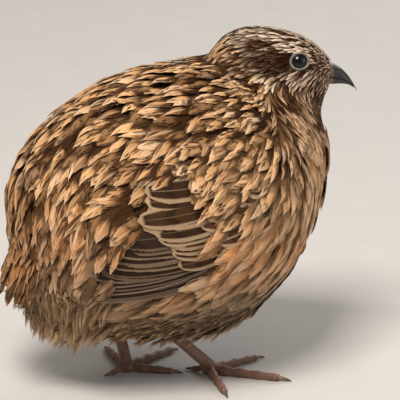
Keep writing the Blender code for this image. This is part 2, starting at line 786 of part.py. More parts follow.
def quail():
    for old in list(bpy.data.objects):
        bpy.data.objects.remove(old)

    def clear_of_torso():
        return [torso_body("torso_clearance", swell=CUT_GAP)]

    half = CUT_GAP / 2
    belly = tree_of(torso_body("torso", "back_plumage"))
    flesh("neck", NECK_AT, HEAD_AT, 7, TORSO_AROUND, "neck_plumage", gaps=(half, half))
    eyes = head(flesh("head", HEAD_AT, LAST, 18, 28, "head_plumage", gaps=(half, 0)))
    for side_name, centre in eyes.items():
        eye("eye_" + side_name, centre)
    bill_half("bill_upper", True, "bill_horn")
    bill_half("bill_lower", False, "bill_horn")
    for side_name, side in (("left", 1), ("right", -1)):
        wing(side_name, side, clear_of_torso)
        trouser(side_name, belly, clear_of_torso)
        tarsus(side_name, belly)
        foot(side_name)
    tail(clear_of_torso)
    stand_on_origin(list(bpy.data.objects))


quail()
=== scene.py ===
"""A life-size coturnix quail: one feathered skin, folded wings, tail, head and legs.

Lengths are in millimetres in the bird's drawing frame: it faces +X, its left is +Y, the
floor is z = 0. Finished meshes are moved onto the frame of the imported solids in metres.
"""

import math
from collections import namedtuple

import bpy
import numpy as np
from mathutils import Matrix, Vector
from mathutils.kdtree import KDTree


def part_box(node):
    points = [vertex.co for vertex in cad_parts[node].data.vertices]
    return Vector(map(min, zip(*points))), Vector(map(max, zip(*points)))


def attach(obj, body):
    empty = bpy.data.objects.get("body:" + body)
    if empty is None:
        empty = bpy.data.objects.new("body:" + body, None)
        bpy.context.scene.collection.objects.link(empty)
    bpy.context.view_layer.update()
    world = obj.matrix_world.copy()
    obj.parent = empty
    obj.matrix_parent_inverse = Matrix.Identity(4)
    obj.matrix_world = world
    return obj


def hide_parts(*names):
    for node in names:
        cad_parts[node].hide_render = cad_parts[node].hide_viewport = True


MM = 0.001
BODY = "root"
FULL_TURN = 2 * math.pi
CHANCE = np.random.default_rng(41)

# Cross-sections of the plumage: belly point (x, z), back point (x, z), half width.
SECTIONS = np.array((
    (-46.5, 28.0, -51.0, 44.0, 9.0),
    (-39.0, 22.5, -52.6, 57.0, 20.0),
    (-28.0, 19.6, -51.8, 69.0, 29.5),
    (-14.0, 17.2, -46.6, 80.6, 36.5),
    (2.0, 15.4, -37.0, 90.2, 40.8),
    (16.5, 17.0, -24.5, 98.0, 42.5),
    (29.5, 24.0, -11.5, 102.4, 41.8),
    (40.5, 35.5, 0.0, 104.4, 38.6),
    (48.8, 50.5, 7.6, 105.4, 33.2),
    (53.6, 66.0, 11.8, 106.2, 26.0),
    (54.3, 78.5, 14.2, 107.2, 19.6),
    (52.6, 86.0, 16.4, 109.6, 15.2),
    (52.6, 90.0, 20.0, 113.6, 12.6),
    (53.2, 92.6, 26.4, 116.4, 11.2),
    (53.9, 94.4, 34.4, 116.6, 10.4),
    (54.4, 95.6, 42.6, 114.8, 9.7),
    (54.8, 96.3, 49.4, 111.6, 7.6),
    (55.2, 96.9, 54.6, 106.6, 4.5),
))
# Places along the bird are counted in sections, from 0 at the rear.
LAST = len(SECTIONS) - 1
HEAD_AT = 12.2
NECK_AXIS_X = 30.0
HEAD_TURN = math.radians(-20.0)
TURN_SPAN = (8.5, HEAD_AT + 0.6)
EYE_X, EYE_Z = 44.6, 107.2
# Hollows and swellings of the face: x, z, height, reach.
FACE_RELIEF = (
    (EYE_X, EYE_Z, -0.35, 3.6),
    (44.0, 112.4, 0.45, 2.6),
    (45.5, 98.6, 0.9, 4.0),
    (35.5, 104.0, 0.5, 4.5),
    (52.0, 103.8, -0.4, 2.4),
)
RELIEF_SHARPNESS = 0.36
# The bill's tip seen from the turning axis of the neck: ahead, sideways.
BILL_REACH, BILL_ASIDE = 34.9, 0.3

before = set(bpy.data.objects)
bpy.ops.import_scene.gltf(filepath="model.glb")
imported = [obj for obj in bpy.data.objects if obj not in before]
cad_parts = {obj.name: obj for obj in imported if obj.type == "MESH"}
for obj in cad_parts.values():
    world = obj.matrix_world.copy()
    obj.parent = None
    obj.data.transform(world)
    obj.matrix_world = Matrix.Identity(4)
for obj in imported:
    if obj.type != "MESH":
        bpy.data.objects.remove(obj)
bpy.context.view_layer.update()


def smooth(low, high, value):
    """0 below low, 1 above high, and an even curve between them."""
    share = np.clip((value - low) / (high - low), 0.0, 1.0)
    return share * share * (3.0 - 2.0 * share)


def unit(vectors):
    """The vectors at length 1."""
    return vectors / np.maximum(np.linalg.norm(vectors, axis=-1, keepdims=True), 1e-9)


def lerp(low, high, share):
    """A share of the way from low to high."""
    return low + (high - low) * share


def dot(first, second):
    """Row by row, the dot product of vectors."""
    return np.sum(first * second, 1)


def flattened(ways, normals):
    """The ways, turned to lie flat on a surface with these normals."""
    return unit(ways - normals * dot(ways, normals)[:, None])


# The surface of the plumage


def section(at):
    """Cross-section rows at places along the bird, carried on straight past both ends."""
    inside = np.clip(at, 0.0, LAST - 1e-6)
    low = inside.astype(int)
    share = (inside - low)[:, None]
    before, here = SECTIONS[np.maximum(low - 1, 0)], SECTIONS[low]
    ahead, beyond = SECTIONS[low + 1], SECTIONS[np.minimum(low + 2, LAST)]
    linear = ahead - before
    square = 2 * before - 5 * here + 4 * ahead - beyond
    cube = 3 * here - before - 3 * ahead + beyond
    row = 0.5 * (2 * here + linear * share + square * share**2 + cube * share**3)
    slope = 0.5 * (linear + 2 * square * share + 3 * cube * share**2)
    return row + slope * (at - inside)[:, None]


def face_relief(points):
    """How far hollows and swellings move the face, which fade at its middle line."""
    raised = np.zeros(len(points))
    for x, z, height, reach in FACE_RELIEF:
        away = (points[:, 0] - x) ** 2 + (points[:, 2] - z) ** 2
        away = away / (2 * reach * reach * RELIEF_SHARPNESS)
        raised += height * np.exp(-away)
    return raised * smooth(0.0, 5.0, np.abs(points[:, 1]))


def surface(at, angle, swell=0.0):
    """Points of the plumage's outer surface, for a bird that looks straight ahead."""
    row = section(at)
    middle = np.stack([(row[:, 0] + row[:, 2]) / 2, 0 * at, (row[:, 1] + row[:, 3]) / 2], 1)
    up = np.stack([(row[:, 2] - row[:, 0]) / 2, 0 * at, (row[:, 3] - row[:, 1]) / 2], 1)
    outward = up * np.cos(angle)[:, None]
    outward[:, 1] += np.maximum(row[:, 4], 0.5) * np.sin(angle)
    way = unit(outward)
    points = middle + outward
    lift = face_relief(points) * smooth(HEAD_AT, HEAD_AT + 1.5, at) + swell
    return points + way * lift[:, None]


def surface_frame(at, angle):
    """Point, change along the bird, change around it, and outward normal."""
    step = 0.02
    point = surface(at, angle)
    along = (surface(at + step, angle) - surface(at - step, angle)) / (2 * step)
    around = (surface(at, angle + step) - surface(at, angle - step)) / (2 * step)
    normal = unit(np.cross(around, along))
    inward = dot(normal, point - surface(at, angle, -1.0)) < 0
    normal[inward] *= -1
    return point, along, around, normal


def placed(points, at):
    """Points turned with the head as far as their place along the bird asks for."""
    turn = HEAD_TURN * smooth(*TURN_SPAN, at)
    x, y = points[:, 0] - NECK_AXIS_X, points[:, 1]
    return np.stack([NECK_AXIS_X + x * np.cos(turn) - y * np.sin(turn),
                     x * np.sin(turn) + y * np.cos(turn), points[:, 2]], 1)


BILL_TIP_X = NECK_AXIS_X + BILL_REACH * math.cos(HEAD_TURN) - BILL_ASIDE * math.sin(HEAD_TURN)
SHIFT_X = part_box("bill_upper")[1].x / MM - BILL_TIP_X


def to_frame(points):
    """Millimetres in the drawing frame to metres in the frame of the solids."""
    return (np.asarray(points, float) + (SHIFT_X, 0.0, 0.0)) * MM


# Materials


# The colour sockets of a Mix node, which share their names with its other sockets.
MIX_SHARE, MIX_LOW, MIX_HIGH, MIX_COLOUR = 0, 6, 7, 2


class Value:
    """A number inside a material, on which plain arithmetic adds the nodes."""

    def __init__(self, paint, socket):
        self.paint, self.socket = paint, socket

    def maths(self, operation, *others, clamp=False):
        """The result of one operation on the others, in order."""
        return self.paint.node("ShaderNodeMath", {"operation": operation, "use_clamp": clamp},
                               dict(enumerate(others)))

    def __add__(self, other):
        return self.maths("ADD", self, other)

    __radd__ = __add__

    def __sub__(self, other):
        return self.maths("SUBTRACT", self, other)

    def __rsub__(self, other):
        return self.maths("SUBTRACT", other, self)

    def __mul__(self, other):
        return self.maths("MULTIPLY", self, other)

    __rmul__ = __mul__

    def __abs__(self):
        return self.maths("ABSOLUTE", self)

    def clamped(self):
        return self.maths("ADD", self, 0.0, clamp=True)

    def larger(self, other):
        return self.maths("MAXIMUM", self, other)

    def waved(self):
        return self.maths("SINE", self)

    def rise(self, low, high):
        """0 below low, 1 above high, and an even curve between them."""
        return self.paint.node(
            "ShaderNodeMapRange", {"interpolation_type": "SMOOTHSTEP"},
            {"Value": self, "From Min": low, "From Max": high})

    def peak(self, middle, width):
        """1 at the middle, falling evenly to 0 a width away."""
        return 1.0 - abs(self - middle).rise(0.0, width)


class Paint:
    """A material under construction."""

    def __init__(self, name, roughness=0.7, **constants):
        self.material = bpy.data.materials.new(name)
        self.material.use_nodes = True
        self.nodes, self.links = self.material.node_tree.nodes, self.material.node_tree.links
        self.shader = self.nodes["Principled BSDF"]
        self.shader.inputs["Roughness"].default_value = roughness
        for socket, value in constants.items():
            self.shader.inputs[socket.replace("_", " ")].default_value = value

    def put(self, socket, value):
        """A number, a colour or the result of other nodes, put into a socket."""
        if isinstance(value, Value):
            self.links.new(value.socket, socket)
        elif socket.type == "RGBA":
            socket.default_value = (*value, 1.0)
        else:
            socket.default_value = value

    def node(self, kind, settings=None, inputs=None, output=0):
        """A new node with its settings and inputs; its chosen output comes back."""
        made = self.nodes.new(kind)
        for name, value in (settings or {}).items():
            setattr(made, name, value)
        for key, value in (inputs or {}).items():
            self.put(made.inputs[key], value)
        return Value(self, made.outputs[output])

    def attribute(self, name, output="Color"):
        return self.node("ShaderNodeAttribute", {"attribute_name": name}, output=output)

    def split(self, vector):
        """The three numbers of a vector."""
        made = self.nodes.new("ShaderNodeSeparateXYZ")
        self.put(made.inputs[0], vector)
        return [Value(self, made.outputs[i]) for i in range(3)]

    def join(self, x, y, z):
        return self.node("ShaderNodeCombineXYZ", None, {0: x, 1: y, 2: z})

    def map_of(self, name):
        return self.split(self.node("ShaderNodeUVMap", {"uv_map": name}))

    def place(self):
        return self.node("ShaderNodeTexCoord", output="Object")

    def noise(self, where, scale, detail=2.0, rough=0.5):
        return self.node("ShaderNodeTexNoise", None,
                         {"Vector": where, "Scale": scale, "Detail": detail, "Roughness": rough})

    def cells(self, where, scale):
        """How far a place lies from the edge of its cell."""
        return self.node("ShaderNodeTexVoronoi", {"feature": "DISTANCE_TO_EDGE"},
                         {"Vector": where, "Scale": scale})

    def mix(self, share, low, high, blend="MIX"):
        return self.node("ShaderNodeMix", {"data_type": "RGBA", "blend_type": blend},
                         {MIX_SHARE: share, MIX_LOW: low, MIX_HIGH: high}, MIX_COLOUR)

    def shade(self, colour, share):
        """The colour multiplied by a number that varies."""
        grey = self.join(share, share, share)
        return self.mix(1.0, colour, grey, "MULTIPLY")

    def finish(self, colour, height=None, distance=0.0002, strength=0.6, roughness=None):
        """Colour, relief and roughness put into the shader; the material comes back."""
        self.put(self.shader.inputs["Base Color"], colour)
        if roughness is not None:
            self.put(self.shader.inputs["Roughness"], roughness)
        if height is not None:
            bump = self.node("ShaderNodeBump", None,
                             {"Height": height, "Distance": distance, "Strength": strength})
            self.put(self.shader.inputs["Normal"], bump)
        return self.material


# How far the barbs of a feather run on towards its tip, as a share of its length.
SWEEP = 0.30


def contour_finish(name, barb_count=34.0):
    """A soft body feather: dark at its root, warm towards a pale tip, with a pale shaft; painted
    shade darkens its covered root end.

    The attributes of each feather set its colours and the strength of every mark.
    """
    paint = Paint(name, 0.78, Specular_IOR_Level=0.08)
    web, along, _ = paint.map_of("Vane")
    side = web * 2.0 - 1.0
    across = abs(side)
    chance = paint.attribute("ground", "Alpha")
    centre = paint.attribute("dark", "Alpha")
    breadth = paint.attribute("pale", "Alpha")
    ground, dark, pale = (paint.attribute(n) for n in ("ground", "dark", "pale"))
    blotch, shaft, tip = paint.split(paint.attribute("marks", "Vector"))
    barbs = paint.noise(paint.join(across * 1.3, (along - SWEEP * across) * barb_count,
                                   chance * 37.0 + side.rise(-0.01, 0.01) * 9.0), 1.0, 2.0, 0.6)
    ragged = barbs - 0.5
    # Marks that lean to one side do so by chance, feather by feather.
    lean = (chance - 0.5).rise(-0.02, 0.02) * 2.0 - 1.0
    one_side = side * lean
    root = 1.0 - (along + ragged * 0.16 + (1.0 - across) * 0.06 - one_side * 0.09).rise(0.54, 0.70)
    spot = (one_side + ragged * 0.25).rise(0.10, 0.45) * (
        along + ragged * 0.10).peak(0.66 + 0.10 * (chance - 0.5), 0.15)
    rim = (one_side + ragged * 0.12).rise(0.62, 0.92) * (1.0 - along.rise(0.80, 0.96))
    lozenge = (1.0 - (abs(side - lean * 0.22) * 1.9 + abs(along + ragged * 0.05 - 0.73) * 4.4
                      + ragged * 0.25).rise(0.50, 0.95)) * (chance * 7.0).waved().rise(-0.3, 0.1)
    bars = paint.noise(paint.join(side * 0.9, (along - 0.25 * across) * 4.2, chance * 53.0),
                       1.0, 1.0).rise(0.52, 0.62) * (1.0 - along.rise(0.86, 0.95))
    dark_marks = root.larger(spot * 0.8).larger(rim * 0.8).larger(bars) * blotch
    dark_share = dark_marks.larger(lozenge * centre).clamped()
    far_end = (along + ragged * 0.08 + across * 0.12 - 0.08).rise(0.78, 1.0)
    far_edge = (0.0 - one_side + ragged * 0.15).rise(0.55, 0.90) * along.rise(0.55, 0.80)
    light = far_end.larger(far_edge * 0.8) * tip
    line = 1.0 - (across + ragged * 0.05 - breadth).rise(-0.06, 0.04)
    line = line * along.rise(0.42, 0.62) * shaft
    colour = paint.mix(along.rise(0.62, 1.0) * 0.30, ground, pale)
    colour = paint.mix(dark_share * 0.94, colour, dark)
    colour = paint.mix(light.larger(line).clamped(), colour, pale)
    # Barbs vary the brightness; painted shade darkens the part near the root that the feathers
    # above cover.
    colour = paint.shade(colour, (0.68 + barbs * 0.64) * (0.60 + along.rise(0.40, 0.80) * 0.40))
    return paint.finish(colour, barbs, 0.00015, 0.5)


def flight_finish(name, edge_from=0.86, edge_to=0.94, tip_from=0.95):
    """A firm wing or tail feather: dark web, smooth pale border and broken cross bars."""
    paint = Paint(name, 0.66, Specular_IOR_Level=0.10)
    web, along, _ = paint.map_of("Vane")
    side = web * 2.0 - 1.0
    across = abs(side)
    chance = paint.attribute("ground", "Alpha")
    ground, dark, pale = (paint.attribute(n) for n in ("ground", "dark", "pale"))
    bars, shaft, edge = paint.split(paint.attribute("marks", "Vector"))
    barbs = paint.noise(paint.join(across * 1.2, (along - SWEEP * across) * 60.0,
                                   chance * 37.0 + side.rise(-0.01, 0.01) * 9.0), 1.0, 2.0, 0.6)
    ragged = barbs - 0.5
    wave = ((along * 30.0 + chance * 20.0 + ragged * 2.6 + across * 2.5).waved()).rise(0.2, 0.7)
    border = (across + ragged * 0.06).rise(edge_from, edge_to)
    border = border.larger((along + ragged * 0.03).rise(tip_from, tip_from + 0.03)) * edge
    line = (1.0 - across.rise(0.02, 0.06)) * shaft
    colour = paint.mix((wave * bars).clamped(), ground, dark)
    colour = paint.mix(border.larger(line).clamped(), colour, pale)
    colour = paint.shade(colour, 0.80 + barbs * 0.40)
    return paint.finish(colour, barbs, 0.0001, 0.4)


def skin_finish(name):
    """Down between the feathers, in the colours of the coat above it, darkened as painted shade
    for the gaps between feathers.
    """
    paint = Paint(name, 0.9, Specular_IOR_Level=0.1)
    fine = paint.noise(paint.place(), 900.0, 3.0)
    # Painted shade: the down is kept dark so the gaps between feathers read as shadow.
    colour = paint.shade(paint.attribute("ground"), 0.35 + fine * 0.35)
    return paint.finish(colour, fine, 0.0003, 0.7)


def bill_finish():
    """Dark horn, browner and softer where it leaves the face."""
    paint = Paint("bill_horn", 0.34, Coat_Weight=0.15)
    x, y, z = paint.split(paint.place())
    along = paint.map_of("Shape")[0]
    cloud = paint.noise(paint.place(), 420.0, 3.0)
    grain = paint.noise(paint.join(x * 900.0, y * 2600.0, z * 2600.0), 1.0, 2.0)
    base = 1.0 - (along + (cloud - 0.5) * 0.20).rise(0.08, 0.27)
    colour = paint.mix(base * 0.75, (0.010, 0.0098, 0.0100), (0.205, 0.112, 0.080))
    colour = paint.mix(cloud.rise(0.55, 0.75) * 0.4, colour, (0.032, 0.029, 0.028))
    return paint.finish(colour, grain * 0.5 + cloud * 0.5, 0.00012, 0.35, 0.30 + cloud * 0.22)


def lid_finish():
    """Bare rim of the eye, pale blue-grey with fine beads."""
    paint = Paint("eye_rim", 0.6)
    beads = paint.cells(paint.place(), 3200.0)
    cloud = paint.noise(paint.place(), 700.0)
    colour = paint.mix(cloud.rise(0.35, 0.65), (0.14, 0.118, 0.100), (0.27, 0.235, 0.20))
    colour = paint.shade(colour, 0.72 + beads.rise(0.0, 0.25) * 0.3)
    return paint.finish(colour, beads.rise(0.0, 0.3), 0.0001, 0.5)


def eye_finish():
    """A dark wet eye: black pupil in a deep brown iris."""
    paint = Paint("eye_gloss", 0.10, Specular_IOR_Level=0.30, Coat_Weight=0.1,
                  Coat_Roughness=0.03)
    away, around, _ = paint.map_of("Shape")
    rays = paint.noise(paint.join(around * 60.0, away * 3.0, 0.0), 1.0, 2.0)
    iris = away.rise(0.20, 0.24) * (1.0 - away.rise(0.36, 0.42))
    colour = paint.mix(iris * (0.5 + rays * 0.5), (0.002, 0.0025, 0.003), (0.005, 0.0035, 0.003))
    return paint.finish(colour)


def leg_finish():
    """Bare leg skin: pinkish brown plates with paler rims."""
    paint = Paint("leg_skin", 0.5, Coat_Weight=0.08)
    around = paint.map_of("Shape")[1]
    cloud = paint.noise(paint.place(), 300.0, 3.0)
    front = around.peak(0.5, 0.30).rise(0.05, 0.35)
    small = paint.cells(paint.place(), 1500.0)
    plate = paint.attribute("plate", "Fac")
    seam = small.rise(0.02, 0.16) * (1.0 - front) + plate * front
    colour = paint.mix(cloud.rise(0.35, 0.70), (0.27, 0.132, 0.080), (0.180, 0.084, 0.050))
    colour = paint.mix(seam, (0.100, 0.055, 0.040), colour)
    dust = paint.noise(paint.place(), 2400.0, 2.0).rise(0.60, 0.80) * 0.45
    colour = paint.mix(dust, colour, (0.40, 0.27, 0.20))
    return paint.finish(colour, seam + cloud * 0.3, 0.00025, 0.6, 0.40 + cloud * 0.25)


def claw_finish():
    """Dull horn, paler at the root, worn darker along its length."""
    paint = Paint("claw_horn", 0.42)
    along, around, _ = paint.map_of("Shape")
    grain = paint.noise(paint.join(along * 3.0, around * 22.0, 0.0), 1.0, 2.0)
    colour = paint.mix(along.rise(0.0, 0.8), (0.26, 0.165, 0.12), (0.075, 0.048, 0.036))
    colour = paint.shade(colour, 0.75 + grain * 0.5)
    return paint.finish(colour, grain, 0.00008, 0.4)


# Meshes

# Blender's kind of attribute and its key, by how many numbers it holds.
ATTRIBUTE_KINDS = {1: ("FLOAT", "value"), 3: ("FLOAT_VECTOR", "vector"),
                   4: ("FLOAT_COLOR", "color")}


def mesh_object(name, points, faces, material, uvs=None, marks=None):
    """A finished piece from points in the drawing frame, with its maps and attributes."""
    mesh = bpy.data.meshes.new(name)
    faces = np.asarray(faces, np.int32)
    sides = faces.shape[1]
    mesh.vertices.add(len(points))
    mesh.vertices.foreach_set("co", to_frame(points).astype(np.float32).ravel())
    mesh.loops.add(faces.size)
    mesh.loops.foreach_set("vertex_index", faces.ravel())
    mesh.polygons.add(len(faces))
    mesh.polygons.foreach_set("loop_start", np.arange(0, faces.size, sides, dtype=np.int32))
    mesh.polygons.foreach_set("loop_total", np.full(len(faces), sides, np.int32))
    mesh.update(calc_edges=True)
    for label, uv in (uvs or {}).items():
        layer = mesh.uv_layers.new(name=label)
        layer.data.foreach_set("uv", uv[faces.ravel()].astype(np.float32).ravel())
    for label, values in (marks or {}).items():
        kind, key = ATTRIBUTE_KINDS[values.size // len(values)]
        made = mesh.attributes.new(label, kind, "POINT")
        made.data.foreach_set(key, values.astype(np.float32).ravel())
    mesh.shade_smooth()
    mesh.materials.append(material)
    made = bpy.data.objects.new(name, mesh)
    bpy.context.scene.collection.objects.link(made)
    return made


def tube(rings, closed_ends=True):
    """Points, triangles and shape map for rings of equal count, closed by fans."""
    rings = np.asarray(rings, float)
    count, around = rings.shape[:2]
    points = rings.reshape(-1, 3)
    ring, spoke = np.meshgrid(np.arange(count - 1), np.arange(around), indexing="ij")
    here, beside = ring * around + spoke, ring * around + (spoke + 1) % around
    quads = np.stack([here, beside, beside + around, here + around], -1).reshape(-1, 4)
    faces = np.concatenate([quads[:, [0, 1, 2]], quads[:, [0, 2, 3]]])
    share = np.repeat(np.linspace(0, 1, count), around)
    turn = np.tile(np.abs(np.linspace(-1, 1, around, endpoint=False)), count)
    uv = np.stack([share, turn], 1)
    if closed_ends:
        for start, end in ((0, 0), ((count - 1) * around, 1)):
            middle = points[start:start + around].mean(0)
            hub = len(points)
            points = np.vstack([points, middle])
            uv = np.vstack([uv, [end, 0.5]])
            edge = start + np.arange(around)
            fan = np.stack([edge, start + (np.arange(around) + 1) % around,
                            np.full(around, hub)], 1)
            faces = np.vstack([faces, fan[:, ::-1] if end == 0 else fan])
    return points, faces, uv


def facing_out(points, faces):
    """The faces, turned if the closed shape they make is inside out."""
    first, second, third = (points[faces[:, i]] for i in range(3))
    volume = np.sum(first * np.cross(second, third))
    return faces[:, ::-1] if volume < 0 else faces


def closed_tube(rings, closed_ends=True):
    """A tube whose faces look outward."""
    points, faces, uv = tube(rings, closed_ends)
    return points, facing_out(points, faces), uv


def joined(parts):
    """Several (points, faces, uv) as one."""
    points, faces, uvs = zip(*parts)
    starts = np.cumsum([0] + [len(p) for p in points[:-1]])
    return np.vstack(points), np.vstack([f + s for f, s in zip(faces, starts)]), np.vstack(uvs)


def repeated(faces, count, size):
    """The faces of one form, repeated for count copies of size points each."""
    return (faces[None] + (np.arange(count) * size)[:, None, None]).reshape(-1, 3)


# Feathers

# A form is one feather's points as (across, along), its faces, how loose each point is, and
# each point's place on the feather's own map.
FIRST_STATION = 0.03
# Rows of an even feather crowd towards its tip, and a leaf-shaped one has nicks in its edge.
ROW_CROWDING, NARROWEST = 1.15, 0.04
NICK_DEPTH, NICK_SHARE, NICK_SEED = 0.08, 0.3, 5
# Barbs of a loose feather: share of the sweep kept free at the tip, how much flatter the sweep
# gets there, least half width, and how far the free ends reach and lean to their clump.
TIP_FREE, SWEEP_FLATTENS, BARB_NARROWEST, BARB_SEED = 0.62, 0.25, 0.08, 2
BARB_REACH, BARB_LEAN, BARB_AHEAD = (0.95, 1.03), 0.5, 0.015
# Threads past the outline: where they start, half width against the pitch of the barbs, reach,
# leans at their start and end, and how loose they are at their start.
THREAD_START, THREAD_WIDTH, THREAD_REACH = 0.6, 0.30, (0.4, 1.0)
THREAD_LEANS, THREAD_AHEAD, THREAD_LOOSE = (0.45, 0.8), 0.25, 0.45


def vane_outline(along, fullest, point):
    """Half width of a feather along its length, as a share of its widest."""
    rise = np.sqrt(np.clip(1 - ((fullest - along) / fullest) ** 2, 0, 1))
    fall = np.clip(1 - np.clip((along - fullest) / (1 - fullest), 0, 1) ** 2.0, 0, 1) ** point
    return np.where(along < fullest, rise, fall)


def vane_form(rows, columns, fullest=0.70, point=0.5):
    """A closed feather in even rows."""
    along = 1 - (1 - np.linspace(FIRST_STATION, 1.0, rows)) ** ROW_CROWDING
    share = np.linspace(-1, 1, columns)
    width = np.maximum(vane_outline(along, fullest, point), NARROWEST)
    points = np.stack([width[:, None] * share, along[:, None] + 0 * share], -1).reshape(-1, 2)
    row, column = np.meshgrid(np.arange(rows - 1), np.arange(columns - 1), indexing="ij")
    corner = (row * columns + column).ravel()
    faces = np.concatenate([np.stack([corner, corner + 1, corner + columns + 1], 1),
                            np.stack([corner, corner + columns + 1, corner + columns], 1)])
    loose = np.tile((np.abs(share) > 0.99) * 1.0, rows)
    return points, faces, loose, np.stack([np.tile(share, rows), np.repeat(along, columns)], 1)


def leaf_form(rows, columns, fullest=0.58, point=1.15):
    """A closed feather with a pointed end and nicks along its edges."""
    outline, faces, loose, own = vane_form(rows, columns, fullest, point)
    draw = np.random.default_rng(NICK_SEED)
    nick = 1 - NICK_DEPTH * (draw.uniform(0, 1, len(outline)) < NICK_SHARE) * loose
    return outline * np.stack([nick, np.ones(len(nick))], 1), faces, loose, own


def feather_form(barbs, split, sweep=SWEEP, fullest=0.60, point=0.8, wisp=0.0, clump=3):
    """A feather whose barbs come apart towards its edges.

    The barbs are joined from the shaft out to split, and hang together in clumps beyond it.
    With a wisp they run on past the outline as thin threads.
    """
    draw = np.random.default_rng(BARB_SEED)
    stations = np.linspace(FIRST_STATION, 1 - sweep * TIP_FREE, barbs + 1)
    pitch = stations[1] - stations[0]
    points, faces, loose = [(0.0, t) for t in stations], [], [0.0] * (barbs + 1)
    own = [(0.0, t) for t in stations]

    def barb(start, share, side, nudge=0.0):
        """The place on a barb a share of the way out, noted on the feather's own map."""
        along = start + sweep * share * (1 - SWEEP_FLATTENS * start) + nudge
        own.append((side * min(share, 1.0), along))
        wide = max(BARB_NARROWEST, vane_outline(min(along, 1.0), fullest, point))
        return side * share * wide, along

    ends = []
    for side in (-1, 1):
        first = len(points)
        ends.append(first + barbs)
        for station in stations:
            points.append(barb(station, split, side))
            loose.append(0.0)
        groups = np.cumsum(draw.integers(0, clump, barbs) == 0)
        for j in range(barbs):
            inner, ahead = first + j, first + j + 1
            faces += ([(j, j + 1, ahead), (j, ahead, inner)] if side < 0
                      else [(j + 1, j, inner), (j + 1, inner, ahead)])
            middle = (stations[j] + stations[j + 1]) / 2
            together = stations[:-1][groups == groups[j]].mean() + pitch / 2 - middle
            far = len(points)
            reach = draw.uniform(*BARB_REACH)
            if wisp:
                x, y = barb(middle, split + (1 - split) * THREAD_START, side,
                            together * THREAD_LEANS[0])
                own.append(own[-1])
                width = pitch * THREAD_WIDTH
                points += [(x, y - width), (x, y + width)]
                points.append(barb(middle, reach + wisp * draw.uniform(*THREAD_REACH), side,
                                   together * THREAD_LEANS[1] + wisp * THREAD_AHEAD))
                loose += [THREAD_LOOSE, THREAD_LOOSE, 1.0]
                thread = [(inner, ahead, far + 1), (inner, far + 1, far), (far, far + 1, far + 2)]
            else:
                points.append(barb(middle, reach, side, together * BARB_LEAN + BARB_AHEAD))
                loose.append(1.0)
                thread = [(inner, ahead, far)]
            faces += thread if side < 0 else [f[::-1] for f in thread]
    tip = len(points)
    points.append((0.0, 1.0 + wisp * 0.3))
    own.append((0.0, 1.0))
    loose.append(1.0)
    faces += [(barbs, tip, ends[0]), (tip, barbs, ends[1])]
    return np.array(points), np.array(faces), np.array(loose), np.array(own)


def lie(points, at, angle):
    """The way the feathers point at places on the bird."""
    x, z = points[:, 0], points[:, 2]
    upper = np.cos(angle)
    down = 0.25 + 0.75 * smooth(-0.95, 0.1, -upper) * smooth(-1.0, -0.45, upper)
    down = down + 1.9 * smooth(-26, -48, x)
    down = down + 2.6 * smooth(22, 50, x) * smooth(100, 88, z)
    down = np.where(upper < -0.55, lerp(down, 0.3, smooth(-0.55, -0.85, upper)), down)
    on_head = smooth(10.4, 12.6, at)
    cheek = smooth(0.2, -0.6, upper)
    down = lerp(down, 0.12 + 0.9 * cheek, on_head)
    front = smooth(24, 42, x) * smooth(102, 94, z) * (1 - 0.5 * on_head)
    forward = lerp(-1.0, lerp(-0.8, 1.1, smooth(62, 84, z)), front)
    way = np.stack([forward, 0 * x, -np.maximum(down, 1.2 * front)], 1)
    way[:, 1] += 0.10 * np.sign(points[:, 1]) * smooth(8, 30, np.abs(points[:, 1]))
    return unit(way)


# A kind of feather: its form, how deep it starts, how far it rises and how far its tip comes
# down again, how ragged, cupped and turned it is, and whether it is lifted over the wing.
Kind = namedtuple("Kind", "form depth rise tip_fall jitter cup turn over_wing")
# Each shaft is followed in steps; at SHOWN_STEP it comes out from under the feathers above.
WALK_STEPS, SHOWN_STEP = 7, 4
PAST_REAR = 0.02
LIFT_SPAN, TIP_SPAN = (0.0, 0.85), (0.78, 1.1)
OWN_LIFT = (0.65, 1.25)
BEND_RADIUS = 26.0
CURL = 0.06
# Feathers lie flatter from here to here on the neck, and most of all on the throat.
NECK_SPAN, NECK_FLATTER, THROAT_FLATTER = (7.8, 9.0), 0.25, 0.35
# Loose points stray across, along and outward, as shares of the feather's half width.
STRAY_ACROSS, STRAY_ALONG, STRAY_OUT = 0.6, 0.5, 0.4
PATCH_SIZE = 0.003


def walked(at, angle, length, turn):
    """Points and directions of each feather's shaft, followed step by step over the surface."""
    rows = []
    reach = length / (WALK_STEPS - 1)
    for _ in range(WALK_STEPS):
        point, along, around, normal = surface_frame(at, angle)
        way = flattened(lie(point, at, angle), normal)
        side = np.cross(normal, way)
        way = unit(way + side * np.tan(turn)[:, None])
        side = np.cross(normal, way)
        if rows:
            past = at < PAST_REAR
            last = rows[-1]
            point[past] = last[0][past] + last[1][past] * reach[past, None]
            for new, old in zip((way, side, normal), last[1:4]):
                new[past] = old[past]
        rows.append((point, way, side, normal, at, angle))
        stretch, girth, skew = dot(along, along), dot(around, around), dot(along, around)
        ahead, aside = dot(way, along), dot(way, around)
        area = np.maximum(stretch * girth - skew * skew, 1e-6)
        at = np.maximum(at + reach * (ahead * girth - aside * skew) / area, 0.0)
        angle = angle + reach * (aside * stretch - ahead * skew) / area
    return rows


